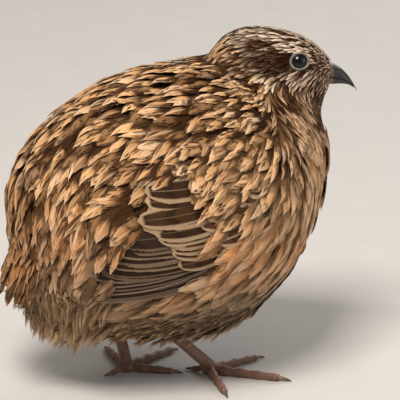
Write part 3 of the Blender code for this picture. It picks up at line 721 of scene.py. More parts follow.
def lay_feathers(kind, at, angle, length, width, droop):
    """Points of feathers that start at places on the bird and follow its surface.

    Also returns the places where the feathers show from under those above them.
    """
    outline, loose = kind.form[0], kind.form[2]
    count, size = len(at), len(outline)
    rows = walked(at, angle, length, CHANCE.normal(0, kind.turn, count))
    point, way, side, normal, place = (np.stack([r[i] for r in rows], 1) for i in range(5))
    shown = [rows[SHOWN_STEP][i] for i in (4, 5, 0)]

    step = np.clip(outline[:, 1], 0, 1.0) * (WALK_STEPS - 1)
    low = np.minimum(step.astype(int), WALK_STEPS - 2)
    share = step - low

    def between(values):
        """Values at the form's points, read between the steps along each shaft."""
        part = share[None, :, None] if values.ndim == 3 else share
        return values[:, low] * (1 - part) + values[:, low + 1] * part

    far = np.clip(outline[:, 1], 0, 1.1)
    curve = CHANCE.normal(0, CURL, (count, 1)) * length[:, None] * far[None, :] ** 2
    across = outline[:, 0][None, :] * width[:, None]
    wild = CHANCE.normal(0, 1, (2, count, size)) * loose[None, None, :] * kind.jitter
    across = across * (1 + wild[0] * STRAY_ACROSS)
    rise = kind.depth + kind.rise * smooth(*LIFT_SPAN, far)
    rise = rise - kind.tip_fall * smooth(*TIP_SPAN, far)
    own_lift = CHANCE.uniform(*OWN_LIFT, (count, 1))
    throat = smooth(8.0, 9.5, at) * smooth(13.5, 11.5, at) * smooth(0.2, -0.4, np.cos(angle))
    own_lift *= (1 - NECK_FLATTER * smooth(*NECK_SPAN, at) - THROAT_FLATTER * throat)[:, None]
    rise = rise[None, :] * own_lift + wild[1] * width[:, None] * STRAY_OUT
    bend = across**2 / (2 * BEND_RADIUS)
    bend = bend + kind.cup * np.abs(across) ** 1.5 / np.sqrt(width[:, None])
    base = between(point)
    if kind.over_wing:
        rise = rise + wing_mound(base.reshape(-1, 3)).reshape(count, size)
    outer, sideways = unit(between(normal)), unit(between(side))
    result = base + sideways * (across + curve)[..., None] + outer * (rise - bend)[..., None]
    result = result + unit(between(way)) * (wild[0] * width[:, None] * STRAY_ALONG)[..., None]
    result[..., 2] -= droop[:, None] * np.clip(outline[:, 1], 0, 1.2)[None, :] ** 2
    return placed(result.reshape(-1, 3), between(place).ravel()), shown


def feather_maps(form, count, root_uv):
    """The feathers' own map and, for each, a small patch at its root's place on the skin."""
    own = np.clip(form[3] * (0.5, 1.0) + (0.5, 0.0), 0, 1)
    vane = np.tile(own, (count, 1))
    patch = np.repeat(root_uv, len(own), 0) + (vane - 0.5) * PATCH_SIZE
    return {"OFBake": patch, "Vane": vane}


def skin_map(at, angle):
    """A place on the skin's own unwrap, opened along the belly."""
    turned = np.mod(angle + math.pi, FULL_TURN) / FULL_TURN
    return np.stack([0.02 + 0.96 * turned, 0.02 + 0.96 * np.clip(at / LAST, 0, 1)], 1)


# Colours of the coat

GOLD = np.array((0.610, 0.325, 0.132))
TAN = np.array((0.370, 0.174, 0.070))
RUFOUS = np.array((0.410, 0.165, 0.058))
CREAM = np.array((0.720, 0.510, 0.330))
BUFF = np.array((0.430, 0.268, 0.145))
GREY_BUFF = np.array((0.260, 0.186, 0.120))
UMBER = np.array((0.040, 0.012, 0.003))
SEPIA = np.array((0.110, 0.052, 0.024))
SMOKE = np.array((0.120, 0.080, 0.052))
FLANK_BUFF = (0.540, 0.335, 0.170)
VENT_BUFF = (0.430, 0.262, 0.145)
# Painted shade colour of the under coat beneath the leaf feathers.
UNDER_SHADE_BROWN = (0.052, 0.019, 0.006)
# How far the brightness of single feathers spreads.
TONE_SPREAD = 0.13
# Rough size of the bird, for marks that run along and around it.
SECTION_LENGTH, MEAN_RADIUS = 5.2, 10.5

# Each region fades in from the first to the second end of its spans.
RUMP_X, RUMP_Z = (-22, -46), (80, 52)
BREAST_X, BREAST_Z, BREAST_UPPER = (24, 42), (100, 86), (0.75, 0.25)
FLANK_X, FLANK_Z, FLANK_SLOPE, FLANK_SLOPE_X = (-24, 0), (66, 54), 0.45, 4
# The second span runs over cos(angle), and sets where painted shade darkens the underside of the
# belly.
BELLY_Z, BELLY_SHADE_UPPER = (46, 28), (-0.30, -0.70)
MANTLE_AT, MANTLE_UPPER = (8.0, 9.8), (-0.1, 0.5)
SHOULDER_X, SHOULDER_Z = (-8, 6), (90, 80)
BESIDE_X, BESIDE_Z = (-34, -16), (94, 84)
VENT_X, VENT_Z = (-8, -28), (56, 44)
BACK_Z = (62, 80)

# Strengths of the marks in each region: dark blotches, pale shaft line and its breadth, pale
# tip, and dark lozenge in the centre.
REGION_MARKS = {
    "shoulder": {"blotch": 0.75},
    "rump": {"blotch": 0.75, "shaft": 0.7},
    "breast": {"tip": 0.8, "shaft": 0.95, "breadth": 0.14},
    "flank": {"shaft": 0.8, "tip": 0.6},
    "vent": {"blotch": 0.2, "shaft": 0.4, "tip": 0.4},
    "belly": {"blotch": 0.05, "shaft": 0.3, "tip": 0.8, "centre": 0.0},
    "mantle": {"shaft": 0.95, "breadth": 0.18},
}


def ripple(points, scale, seed):
    """Smooth chance between about -1 and 1 over space."""
    draw = np.random.default_rng(seed)
    total = np.zeros(len(points))
    for _ in range(6):
        way = draw.normal(0, 1, 3)
        total += np.sin(points @ way / scale + draw.uniform(0, 6.28))
    return total / 3.0


def blend(share, low, high):
    """Colours a share of the way from low to high, with the share kept from 0 to 1."""
    return low + (high - low) * np.clip(share, 0, 1)[:, None]


def every(colour, count):
    """One colour for each of count feathers."""
    return np.tile(colour, (count, 1))


def with_share(colours, share):
    """Colours with one more number, the same for all."""
    return np.hstack([colours, np.full((len(colours), 1), share)])


def regions(at, angle, points):
    """Shares from 0 to 1 of rump, breast, flank, belly and mantle at places on the bird."""
    x, z = points[:, 0], points[:, 2]
    upper = np.cos(angle)
    wander = 3.0 * ripple(points, 9.0, 5)
    rump = smooth(*RUMP_X, x) * smooth(*RUMP_Z, z)
    breast = smooth(*BREAST_X, x + wander) * smooth(*BREAST_Z, z) * smooth(*BREAST_UPPER, upper)
    slope = FLANK_SLOPE * np.maximum(x - FLANK_SLOPE_X, 0)
    flank = smooth(*FLANK_Z, z - slope + wander) * smooth(*FLANK_X, x)
    belly = smooth(*BELLY_Z, z + wander)
    mantle = smooth(*MANTLE_AT, at) * smooth(*MANTLE_UPPER, upper)
    return rump, breast, flank, belly, mantle


def beside_back(points):
    """Share from 0 to 1 of the side of the back, over the wing."""
    return smooth(*BESIDE_X, points[:, 0]) * smooth(*BESIDE_Z, points[:, 2])


def shares_of_regions(at, angle, points):
    """Every region's share from 0 to 1 at places on the bird, by name."""
    x, z = points[:, 0], points[:, 2]
    rump, breast, flank, belly, mantle = regions(at, angle, points)
    return {"shoulder": smooth(*SHOULDER_X, x) * smooth(*SHOULDER_Z, z) * (1 - breast),
            "rump": rump, "breast": breast, "flank": flank,
            "vent": smooth(*VENT_Z, z) * smooth(*VENT_X, x), "belly": belly, "mantle": mantle}


def ground_colour(at, angle, points, share, each, duller):
    """Each feather's ground colour by region, with painted shade under the belly; by chance some
    are paler or duller.
    """
    count = len(at)
    breast, vent, belly = share["breast"], share["vent"], share["belly"]
    run = streaks(at, angle, points, 2.2, 16.0, 21)
    ground = blend(0.72 + 0.25 * ripple(points, 7.0, 6) + 0.6 * (each - 0.5),
                   every(TAN, count), GOLD)
    ground = blend(share["shoulder"] * 0.35, ground, BUFF * 1.45)
    ground = blend(share["rump"] * 0.65, ground, RUFOUS)
    ground = blend(breast * 0.8, ground, blend(each, every(RUFOUS, count), BUFF))
    ground = blend(breast * 0.75 * (each < 0.25), ground, SEPIA * 1.3)
    ground = blend(breast * 0.75 * (each > 0.72), ground, CREAM)
    patch = 0.5 + 0.5 * run + 0.35 * ripple(points, 4.5, 9)
    orange = blend(patch, every(RUFOUS * 1.40, count), FLANK_BUFF)
    ground = blend(share["flank"] * 0.9, ground, orange)
    ground = blend(vent * 0.9, ground, VENT_BUFF)
    ground = blend(belly * (1 - 0.5 * vent), ground, GREY_BUFF * (1 + 0.25 * run[:, None]))
    # Painted shade: the underside of the belly is darkened, less so at the vent.
    below = belly * smooth(*BELLY_SHADE_UPPER, np.cos(angle)) * (1 - 0.75 * vent)
    ground = ground * (1 - 0.62 * below)[:, None]
    ground = blend((each < 0.14) * (1 - np.maximum(vent, belly)) * 0.5, ground, CREAM)
    ground = blend(duller * 0.7, ground, SEPIA)
    return ground * (1 + 0.16 * smooth(*BACK_Z, points[:, 2]) * (1 - breast))[:, None]


def mark_strengths(points, share, each):
    """Strengths of every mark by region, by the marks' names."""
    beside = beside_back(points) * (1 - share["breast"])
    look = {"blotch": 1.0, "shaft": 0.80, "tip": 0.60, "centre": 0.95 * beside * (each < 0.7),
            "breadth": 0.07 + 0.12 * (each > 0.6)}
    own_marks = {
        "breast": {"blotch": 0.55 + 0.4 * (each > 0.5), "centre": 0.7 * (each < 0.35)},
        "flank": {"blotch": 0.10 + 0.5 * (each > 0.8), "centre": 0.7 * (each > 0.88),
                  "breadth": 0.06 + 0.16 * (each > 0.6)},
    }
    for region, here in share.items():
        marks = {**REGION_MARKS[region], **own_marks.get(region, {})}
        for name, strength in marks.items():
            look[name] = lerp(look[name], strength, here)
    look["shaft"] = look["shaft"] * (1 - 0.6 * share["shoulder"])
    return look


def plumage(at, angle, points):
    """Ground, dark and pale colours and the strengths of the marks, by place."""
    count = len(at)
    share = shares_of_regions(at, angle, points)
    breast, belly = share["breast"], share["belly"]
    each = CHANCE.uniform(0, 1, count)
    duller = (each > 0.90) * (1 - np.maximum(share["flank"], belly))
    ground = ground_colour(at, angle, points, share, each, duller)
    dark = blend(belly, blend(breast, every(UMBER, count), SEPIA * 0.7), SMOKE)
    pale = blend(belly * 0.8, every(CREAM, count), BUFF * 1.15)
    pale = blend(duller * 0.5, pale, TAN)
    look = mark_strengths(points, share, each)
    return (ground, np.hstack([dark, look["centre"][:, None]]),
            np.hstack([pale, look["breadth"][:, None]]),
            np.stack([look["blotch"], look["shaft"], look["tip"]], 1))


def under_plumage(at, angle, points):
    """Duller and darker than the feathers that lie over it, as painted shade under them; less dark
    beside the back.
    """
    ground, dark, pale, marks = plumage(at, angle, points)
    # Painted shade: ground, pale and marks are darkened where the leaf feathers cover the under
    # coat.
    ground = blend(0.50 - 0.34 * beside_back(points), ground * 0.72, UNDER_SHADE_BROWN)
    return ground, dark * (1, 1, 1, 0.0), pale * (0.42, 0.38, 0.34, 1.0), marks * (0.9, 0.4, 0.5)


def streaks(at, angle, points, wide, long, seed):
    """Chance that runs in streaks along the feathers' lie, from about -1 to 1."""
    _, along, around, normal = surface_frame(at, angle)
    way = flattened(lie(points, at, angle), normal)
    with_bird, about = dot(way, unit(along)), dot(way, unit(around))
    down_bird, round_bird = at * SECTION_LENGTH, np.mod(angle + math.pi, FULL_TURN) * MEAN_RADIUS
    over = round_bird * with_bird - down_bird * about
    ahead = down_bird * with_bird + round_bird * about
    return ripple(np.stack([over / wide, ahead / long, 0 * at], 1), 1.0, seed)


# Round places of the head: centre x, centre z, half length, half height.
EAR = (34.5, 106.2, 8.6, 4.6)
CRESCENT = (29.6, 100.0, 2.4, 5.6)
BEHIND_EAR = (28.8, 107.6, 5.2, 5.0)
FACE = (49.5, 104.0, 1.0, 1.0)
LORES = (53.2, 104.4, 1.0, 1.0)
# Colours of the head, and of the shade that its dark marks have.
HEAD_LIGHT, HEAD_PALE = (0.72, 0.55, 0.40), (0.80, 0.64, 0.50)
EAR_BROWN, CHEEK_WARM = (0.036, 0.018, 0.010), (0.46, 0.225, 0.125)
FACE_BROWN, LORES_BROWN = (0.20, 0.105, 0.068), (0.24, 0.125, 0.090)


def away_from(place, x, z, lean_x=0.0, lean_z=0.0):
    """Distance from a round place of the head, 1 at its edge; it may lean with x or z."""
    middle_x, middle_z, half_length, half_height = place
    return np.hypot((x - middle_x - lean_x) / half_length, (z - middle_z - lean_z) / half_height)


def head_pattern(at, points):
    """Shares of the head's pale and dark places: brow, crown line, cheek, neck and so on."""
    x, y, z = points[:, 0], np.abs(points[:, 1]), points[:, 2]
    brow = smooth(3.4, 1.6, np.abs(z - (111.8 - 0.05 * (x - 44)))) * smooth(31, 36, x)
    brow = brow * smooth(54, 51, x) * smooth(3, 5, y)
    crown = 0.30 * smooth(1.6, 0.7, y) * smooth(24, 34, x) * (z > 108)
    cheek = smooth(104.5, 101.5, z) * smooth(38.5, 42, x)
    neck = smooth(12.6, 11.4, at)
    crescent = smooth(1.1, 0.7, away_from(CRESCENT, x, z, lean_x=0.70 * (103 - z)))
    ear = smooth(1.15, 0.75, away_from(EAR, x, z, lean_z=0.14 * (x - 34)))
    band = smooth(2.9, 1.5, np.abs(x - (36.6 + 0.50 * (103 - z)))) * smooth(104, 101.5, z)
    band = band * smooth(88, 92, z)
    malar = smooth(0.9, 0.4, np.abs(z - (98.9 - 0.28 * (51 - x)))) * smooth(38, 44, x)
    chin = smooth(97.0, 94.5, z) * smooth(46.5, 49.5, x)
    back = smooth(30, 24, x) * smooth(100, 104, z)
    behind = smooth(1.25, 0.70, away_from(BEHIND_EAR, x, z))
    shaded = np.max([ear, band * 0.95, malar * 0.7, chin * 0.8, back * 0.35, behind * 0.70], 0)
    return brow, crown, cheek, neck, crescent, ear, shaded * (1 - crescent)


def head_colour(at, angle, points):
    """Colours and marks of the small feathers of the head and neck, by place."""
    count = len(at)
    x, z = points[:, 0], points[:, 2]
    each = CHANCE.uniform(0, 1, count)
    run = streaks(at, angle, points, 0.85, 7.0, 12) + 0.45 * (each - 0.5)
    brow, crown, cheek, neck, crescent, ear, shaded = head_pattern(at, points)
    light = 0.60 + 0.34 * brow + crown
    for share, strength in ((cheek, 0.92), (neck, 0.86), (crescent, 1.35)):
        light = lerp(light, strength, share)
    contrast = lerp(lerp(1.20, 0.65, cheek), 0.08, np.maximum(shaded, crescent))
    light = np.clip(light * (1 - 0.96 * shaded) + contrast * run, 0, 1)

    golden = np.maximum(neck * (1 - crescent), 0.5 * smooth(46, 52, x) * (z > 106))
    face = smooth(8.0, 5.0, away_from(FACE, x, z)) * smooth(110, 107, z)
    lores = smooth(4.6, 2.6, away_from(LORES, x, z))
    warm = cheek * 0.40 * (0.4 + 0.6 * light) * (1 - shaded)
    ground = blend(light, every(UMBER * 1.2, count), HEAD_LIGHT)
    for share, colour in ((golden * light * 0.85, GOLD), (ear * 0.55, EAR_BROWN),
                          (warm, CHEEK_WARM), (face * 0.45, FACE_BROWN),
                          (lores * 0.8, LORES_BROWN)):
        ground = blend(share, ground, colour)
    pale = blend(golden * 0.5, every(HEAD_PALE, count), GOLD * 1.25)
    pale = blend(0.15 + 0.85 * light, every(SEPIA * 0.8, count), pale)
    thin = light * (1 - 0.8 * shaded)
    shaft = thin * 0.8 + 0.5 * neck * (each > 0.4) * (1 - shaded)
    marks = np.stack([lerp(0.75, 0.10, light), np.clip(shaft, 0, 1), thin * 0.5], 1)
    return (ground, with_share(every(UMBER, count), 0.0),
            np.hstack([pale, lerp(0.30, 0.20, neck)[:, None]]), marks)


def coat_marks(size, ground, dark, pale, marks):
    """Per-feather colours repeated on every point of each feather.

    Beside the colours, ground holds each feather's own chance, dark the strength of the
    lozenge in its centre and pale the breadth of its shaft line.
    """
    count = len(ground)
    chance = CHANCE.uniform(0, 1, count)
    tone = 1 + CHANCE.normal(0, TONE_SPREAD, count)[:, None]
    ground = np.hstack([np.clip(ground * tone, 0, 1), chance[:, None]])
    values = {"ground": ground, "dark": dark, "pale": pale, "marks": marks}
    return {name: np.repeat(rows, size, 0) for name, rows in values.items()}


# Where the feathers grow

SCATTER_ROWS, SCATTER_COLUMNS = 340, 240
# Border of the folded wing seen from the side, and the half width within which it ends.
WING_BORDER = np.array(((27, 62), (25, 84), (10, 87), (-12, 82), (-28, 68), (-36, 54),
                        (-45, 39), (-30, 40), (-5, 44), (12, 50)), float)
WING_INNER_Y = 12
WING_RISE, WING_EDGE = 2.9, (-3.0, 3.5)
# Front end of the bare part of the wing, for roots of feathers and for their tips, and how
# far inside the wing's border each has to be to count as on it.
BARE_FRONT, BARE_TIP_FRONT = 7.0, -4.0
ROOT_INSIDE, TIP_INSIDE = 1.5, 3.0
# Lengths tried out ahead of a feather's root, how far it may pass the first one that lies on
# the bare wing, its length where none does, and the least room that a feather grows in.
REACHES, REACH_SLACK = np.arange(18.0, 1.0, -2.0), 2.5
FREE_LENGTH, LEAST_ROOM = 40.0, 7.0
# Small feathers start at this place along the bird, and those of the body end a bit further.
HEAD_COAT_AT, BODY_COAT_END = 9.9, 10.5
BILL_TOP_Z, EYE_CLEARING = 101.5, 3.1
SKIN_DEPTH, HEAD_SKIN_DEPTH = 2.0, 0.7
# Feathers get shorter towards the rear end.
REAR_SPAN = (0.2, 2.4)
# Places tried for each coat, most of which fall too close to others, and the chance's seed.
UNDER_TRIES, LEAF_TRIES, DOWN_TRIES, HEAD_TRIES = (34000, 3), (26000, 6), (12000, 14), (80000, 8)
# Leaf-shaped feathers may lie closer side by side than end to end.
LEAF_NARROW = 0.58
DOWN_GAP = 2.3
# How far past the last section head feathers grow, over the root of the bill.
HEAD_PAST_END = 0.55


def scattered(spacing, keep, draws, seed, last=LAST, narrow=1.0):
    """Places on the bird about as far apart as spacing(at, angle, points) asks for.

    Across the feathers' lie they may be closer, by the share narrow.
    """
    draw = np.random.default_rng(seed)
    at, angle = np.meshgrid((np.arange(SCATTER_ROWS) + 0.5) / SCATTER_ROWS * last,
                            (np.arange(SCATTER_COLUMNS) + 0.5) / SCATTER_COLUMNS * FULL_TURN,
                            indexing="ij")
    at, angle = at.ravel(), angle.ravel()
    point, along, around, _ = surface_frame(at, angle)
    area = np.linalg.norm(np.cross(along, around), axis=1)
    weight = area / spacing(at, angle, point) ** 2 * keep(at, angle, point)
    chosen = draw.choice(len(at), draws, p=weight / weight.sum())
    at = at[chosen] + draw.uniform(-0.5, 0.5, draws) * last / SCATTER_ROWS
    angle = angle[chosen] + draw.uniform(-0.5, 0.5, draws) * FULL_TURN / SCATTER_COLUMNS
    points = surface(at, angle)
    gap = spacing(at, angle, points)
    tree = KDTree(draws)
    for i, point in enumerate(points):
        tree.insert(point, i)
    tree.balance()
    free = keep(at, angle, points) > draw.uniform(0, 1, draws)
    ways = lie(points, at, angle)
    for i in range(draws):
        if free[i]:
            for place, j, distance in tree.find_range(points[i], gap[i]):
                ahead = np.dot(np.array(place) - points[i], ways[i])
                over = (distance**2 - ahead**2) / narrow**2
                if j > i and ahead**2 + over < gap[i] ** 2:
                    free[j] = False
    return at[free], angle[free], points[free]


def wing_depth(points):
    """How far inside the folded wing's border places lie, seen from the side."""
    x, z = points[:, 0], points[:, 2]
    inside = np.zeros(len(x), bool)
    nearest = np.full(len(x), np.inf)
    for (ax, az), (bx, bz) in zip(WING_BORDER, np.roll(WING_BORDER, -1, 0)):
        crosses = (az > z) != (bz > z)
        with np.errstate(divide="ignore", invalid="ignore"):
            meet = (bx - ax) * (z - az) / (bz - az) + ax
        inside ^= crosses & (x < meet)
        length = (bx - ax) ** 2 + (bz - az) ** 2
        share = np.clip(((x - ax) * (bx - ax) + (z - az) * (bz - az)) / length, 0, 1)
        nearest = np.minimum(nearest, np.hypot(x - ax - share * (bx - ax),
                                               z - az - share * (bz - az)))
    return np.where(inside, nearest, -nearest) * (np.abs(points[:, 1]) > WING_INNER_Y)


def wing_mound(points):
    """How far the folded wing lifts the feathers that lie over it."""
    return WING_RISE * smooth(*WING_EDGE, wing_depth(points))


def on_bare_wing(points, depth, front=BARE_FRONT):
    """Where the long feathers of the wing show."""
    x, z = points[:, 0], points[:, 2]
    top = lerp(83.0, 74.0, smooth(-6, 2, x))
    covered = (wing_depth(points) > depth) & (x < front - 5.0 * smooth(56, 48, z))
    return covered & (((x > -17) & (z < top)) | (z < lerp(55.0, 64.0, smooth(-44, -20, x))))


def room_ahead(at, angle, points):
    """How long a feather may be before its tip lies over the bare part of the wing."""
    way = lie(points, at, angle)
    room = np.full(len(at), FREE_LENGTH)
    for reach in REACHES:
        bare = on_bare_wing(points + reach * way, TIP_INSIDE, BARE_TIP_FRONT)
        room = np.where(bare, reach + REACH_SLACK, room)
    return room


def softness(at, angle, points):
    """0 where feathers are firm and marked, 1 where they are loose and silky."""
    _, breast, flank, belly, _ = regions(at, angle, points)
    x, z = points[:, 0], points[:, 2]
    vent = smooth(54 + 4 * smooth(-20, -45, x), 42, z + 2.0 * ripple(points, 6.0, 11))
    return np.max([0.8 * breast, flank, belly, vent], 0)


def body_spacing(at, angle, points):
    """Distance between the feathers of the under coat."""
    rump, breast, flank, belly, _ = regions(at, angle, points)
    gap = lerp(4.0, 3.8, rump)
    gap = lerp(gap, 2.9, breast * (1 - flank))
    gap = lerp(gap, 3.5, np.maximum(flank, belly))
    gap = lerp(gap, 3.0, smooth(6.6, 8.6, at))
    return lerp(gap, 2.2, smooth(8.6, 10.4, at))


def body_keep(at, angle, points):
    """Where the under coat grows: not on the bare wing, nor close ahead of it."""
    clear = room_ahead(at, angle, points) > LEAST_ROOM
    return (at < BODY_COAT_END) * (1.0 - on_bare_wing(points, ROOT_INSIDE)) * clear


def leaf_spacing(at, angle, points):
    """Distance between the marked feathers of the back."""
    x, z = points[:, 0], points[:, 2]
    shoulder = smooth(*SHOULDER_X, x) * smooth(*SHOULDER_Z, z)
    gap = lerp(5.7 + 0.7 * ripple(points, 8.0, 15), 4.4, shoulder)
    gap = lerp(gap, 4.7, smooth(-14, -34, x) * smooth(74, 60, z))
    gap = lerp(gap, 4.0, smooth(6.4, 8.4, at))
    return lerp(gap, 2.9, smooth(8.4, 10.0, at))


def leaf_keep(at, angle, points):
    """Feathers of the upper coat grow where the plumage is firm."""
    return body_keep(at, angle, points) * (softness(at, angle, points) < 0.5)


def down_spacing(at, angle, points):
    """Distance between the tufts of down."""
    return np.full(len(at), DOWN_GAP)


def down_keep(at, angle, points):
    """Where down hangs from the belly and the vent."""
    x, z = points[:, 0], points[:, 2]
    return ((z < 30) & (x < 38)) | ((x < -28) & (z < 50))


def head_spacing(at, angle, points):
    """Distance between the small feathers of head and neck."""
    neck = lerp(2.1, 1.3, smooth(10.0, 12.0, at))
    return lerp(lerp(neck, 0.95, smooth(12.0, 13.0, at)), 0.70, smooth(15.2, 16.6, at))


def head_keep(at, angle, points):
    """Where head feathers grow: not on the eyes, nor on the bill."""
    eye = np.hypot(points[:, 0] - EYE_X, points[:, 2] - EYE_Z) < EYE_CLEARING
    on_bill = (at > LAST) & (points[:, 2] < BILL_TOP_Z)
    return (at > HEAD_COAT_AT) * (1.0 - eye * (np.abs(points[:, 1]) > 2)) * (1.0 - on_bill)


def skin_depth(at):
    """How far the skin lies under the plumage's surface."""
    return lerp(SKIN_DEPTH, HEAD_SKIN_DEPTH, smooth(9.5, 12.5, at))


UNDER = Kind(feather_form(22, 0.50, sweep=0.45, fullest=0.55, wisp=0.22, clump=4),
             depth=-1.8, rise=2.0, tip_fall=0.4, jitter=0.10, cup=0.12, turn=0.20,
             over_wing=True)
SILKY = UNDER._replace(depth=-1.7, rise=1.8, jitter=0.08)
LEAVES = [
    Kind(form, depth=-1.3, rise=2.2, tip_fall=0.7, jitter=0.06, cup=0.32, turn=0.20,
         over_wing=True)
    for form in (leaf_form(16, 9), leaf_form(16, 9, 0.50, 1.5),
                 feather_form(18, 0.74, sweep=0.40, fullest=0.56, point=1.1, wisp=0.05, clump=5))
]
DOWN = Kind(feather_form(22, 0.10, sweep=0.55, fullest=0.5, point=0.6, wisp=0.40),
            depth=-1.8, rise=2.0, tip_fall=0.2, jitter=0.09, cup=0.10, turn=0.20,
            over_wing=True)
SMALL = Kind(feather_form(5, 0.50, point=0.6, wisp=0.14), depth=-0.45, rise=0.62,
             tip_fall=0.15, jitter=0.12, cup=0.08, turn=0.10, over_wing=False)


def lay_coat(name, kind, places, sizes, material, colours):
    """One kind of feather laid at places on the bird, as one finished piece.

    The sizes are each feather's length, its width and how far its tip hangs down.
    """
    at, angle, _ = places
    points, shown = lay_feathers(kind, at, angle, *sizes)
    count, size = len(at), len(kind.form[0])
    made = mesh_object(name, points, repeated(kind.form[1], count, size), material,
                       feather_maps(kind.form, count, skin_map(at, angle)),
                       coat_marks(size, *colours(*shown)))
    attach(made, BODY)


def picked(chosen, arrays):
    """The chosen rows of several arrays."""
    return [values[chosen] for values in arrays]


def under_coat(finish):
    """Soft feathers all over the body; on breast, flank and belly they are all that shows."""
    places = scattered(body_spacing, body_keep, *UNDER_TRIES)
    gap, soft = body_spacing(*places), softness(*places)
    count = len(gap)
    length = gap * (3.9 + 1.6 * soft + CHANCE.normal(0, 0.3, count))
    width = gap * (0.85 + 0.10 * soft + CHANCE.normal(0, 0.07, count))
    length *= lerp(0.70, 1.0, smooth(*REAR_SPAN, places[0]))
    sizes = np.minimum(length, room_ahead(*places)), width, np.zeros(count)
    for name, kind, chosen, colours in (
            ("under_feathers", UNDER, soft <= 0.5, under_plumage),
            ("silky_feathers", SILKY, soft > 0.5, plumage)):
        lay_coat(name, kind, picked(chosen, places), picked(chosen, sizes),
                 finish, colours)


def leaf_feathers(finish):
    """Firm marked feathers of three forms over the under coat of the back."""
    places = scattered(leaf_spacing, leaf_keep, *LEAF_TRIES, narrow=LEAF_NARROW)
    gap = leaf_spacing(*places)
    count = len(gap)
    length = gap * np.clip(3.1 + CHANCE.normal(0, 0.45, count), 2.2, 4.2)
    width = gap * np.clip(0.43 + CHANCE.normal(0, 0.07, count), 0.30, 0.60)
    rump = regions(*places)[0]
    width *= (1 - 0.22 * rump) * (1 - 0.28 * smooth(7.5, 9.5, places[0]))
    sizes = np.minimum(length, room_ahead(*places)), width, np.zeros(count)
    index = np.where(CHANCE.uniform(0, 1, count) < rump * 0.7, 2, CHANCE.integers(0, 3, count))
    for number, kind in enumerate(LEAVES):
        lay_coat(f"leaf_feathers_{number + 1}", kind,
                 picked(index == number, places), picked(index == number, sizes), finish, plumage)


def hanging_down():
    """Loose down that hangs below the belly and the vent."""
    places = scattered(down_spacing, down_keep, *DOWN_TRIES)
    count = len(places[0])
    length = CHANCE.uniform(10, 16, count) * lerp(0.65, 1.0, smooth(*REAR_SPAN, places[0]))
    width = CHANCE.uniform(2.0, 3.2, count)
    x, z = places[2][:, 0], places[2][:, 2]
    droop = CHANCE.uniform(0.0, 3.0, count) * smooth(36, 22, z)
    droop = droop + CHANCE.uniform(0.5, 6.0, count) * smooth(-10, -30, x) * smooth(48, 40, z)
    lay_coat("down_feathers", DOWN, places, (length, width, droop),
             contour_finish("down_plumage", 40.0), plumage)


def head_feathers():
    """The small feathers of head and neck."""
    places = scattered(head_spacing, head_keep, *HEAD_TRIES, LAST + HEAD_PAST_END)
    gap = head_spacing(*places)
    count = len(gap)
    near_bill = smooth(15.4, 16.8, places[0])
    length = gap * (5.2 - 2.2 * near_bill + CHANCE.normal(0, 0.4, count))
    width = gap * (0.42 + CHANCE.normal(0, 0.05, count))
    lay_coat("head_feathers", SMALL, places, (length, width, np.zeros(count)),
             contour_finish("head_plumage", 10.0), head_colour)


# Wings and tail

SHELL_CENTRE = (0.3, 58.2)
SHELL_LENGTH, SHELL_HEIGHT, SHELL_WIDTH = 64.8, 47.8, 43.0
# The wing's place on the skin's own map: the x and z that it starts from, and its span.
WING_MAP_START, WING_MAP_SPAN = np.array((-50, 35)), np.array((85, 55))

# Tiers of the wing: name, count, first and last root, first and last tip (upper first),
# half widths, heights over the shell.
WING_TIERS = (
    ("primary", 10, (4, 57), (2, 45.0), (-35, 50), (-43.5, 39.5), 3.2, 2.6, 0.9, 0.1),
    ("secondary", 8, (8, 66), (5, 53), (-31, 60), (-36, 50), 4.2, 3.4, 1.3, 1.0),
    ("tertial", 6, (10, 78), (8, 68), (-20, 74), (-24.5, 64), 4.0, 3.8, 1.7, 1.6),
    ("greater_covert", 8, (15, 74), (12, 58), (-22.5, 68), (-12, 53), 3.9, 3.1, 2.1, 1.5),
    ("median_covert", 7, (19, 79), (17, 60), (-6, 75), (-1, 55), 4.0, 3.4, 2.1, 1.8),
    ("lesser_covert", 7, (24, 79), (23, 64), (9, 76), (10, 59), 3.4, 3.0, 1.8, 1.6),
)
# Ground, dark and pale colours and the strengths of bars, shaft line and border.
WING_COLOURS = {
    "primary": ((0.024, 0.013, 0.008), (0.014, 0.007, 0.004), (0.26, 0.185, 0.128),
                (0.15, 0.3, 0.9)),
    "secondary": ((0.026, 0.014, 0.008), (0.014, 0.007, 0.004), (0.27, 0.18, 0.11),
                  (0.4, 0.3, 0.8)),
    "tertial": ((0.036, 0.015, 0.006), (0.018, 0.007, 0.003), (0.43, 0.29, 0.175),
                (0.7, 0.3, 0.95)),
    "greater_covert": ((0.048, 0.021, 0.008), (0.018, 0.007, 0.003), (0.40, 0.27, 0.165),
                       (0.7, 0.2, 0.95)),
    "median_covert": ((0.080, 0.036, 0.014), (0.022, 0.009, 0.003), (0.42, 0.28, 0.165),
                      (0.7, 0.3, 0.95)),
    "lesser_covert": ((0.090, 0.044, 0.020), (0.026, 0.010, 0.004), (0.43, 0.29, 0.17),
                      (0.7, 0.3, 0.9)),
}
FLIGHT_TIERS = ("primary", "secondary")
# A feather of the wing bows down in its middle, dips at its root and tip, and is tilted and
# domed across, all in millimetres; its edge is ragged by a share of its half width.
BOW, ROOT_DIP, TIP_DIP, TILT, DOME, RAGGED_EDGE = 1.4, 1.6, 0.35, 0.36, 0.34, 0.02
# How far single feathers stray in millimetres, and the least strength of their borders.
WING_STRAY = {"flight": 0.45, "covert": 0.9}
LEAST_BORDER = {"flight": 0.35, "covert": 0.8}
# Centre lozenge and breadth of the shaft line of the wings' and the tail's feathers.
NO_CENTRE, THIN_SHAFT = 0.0, 0.1


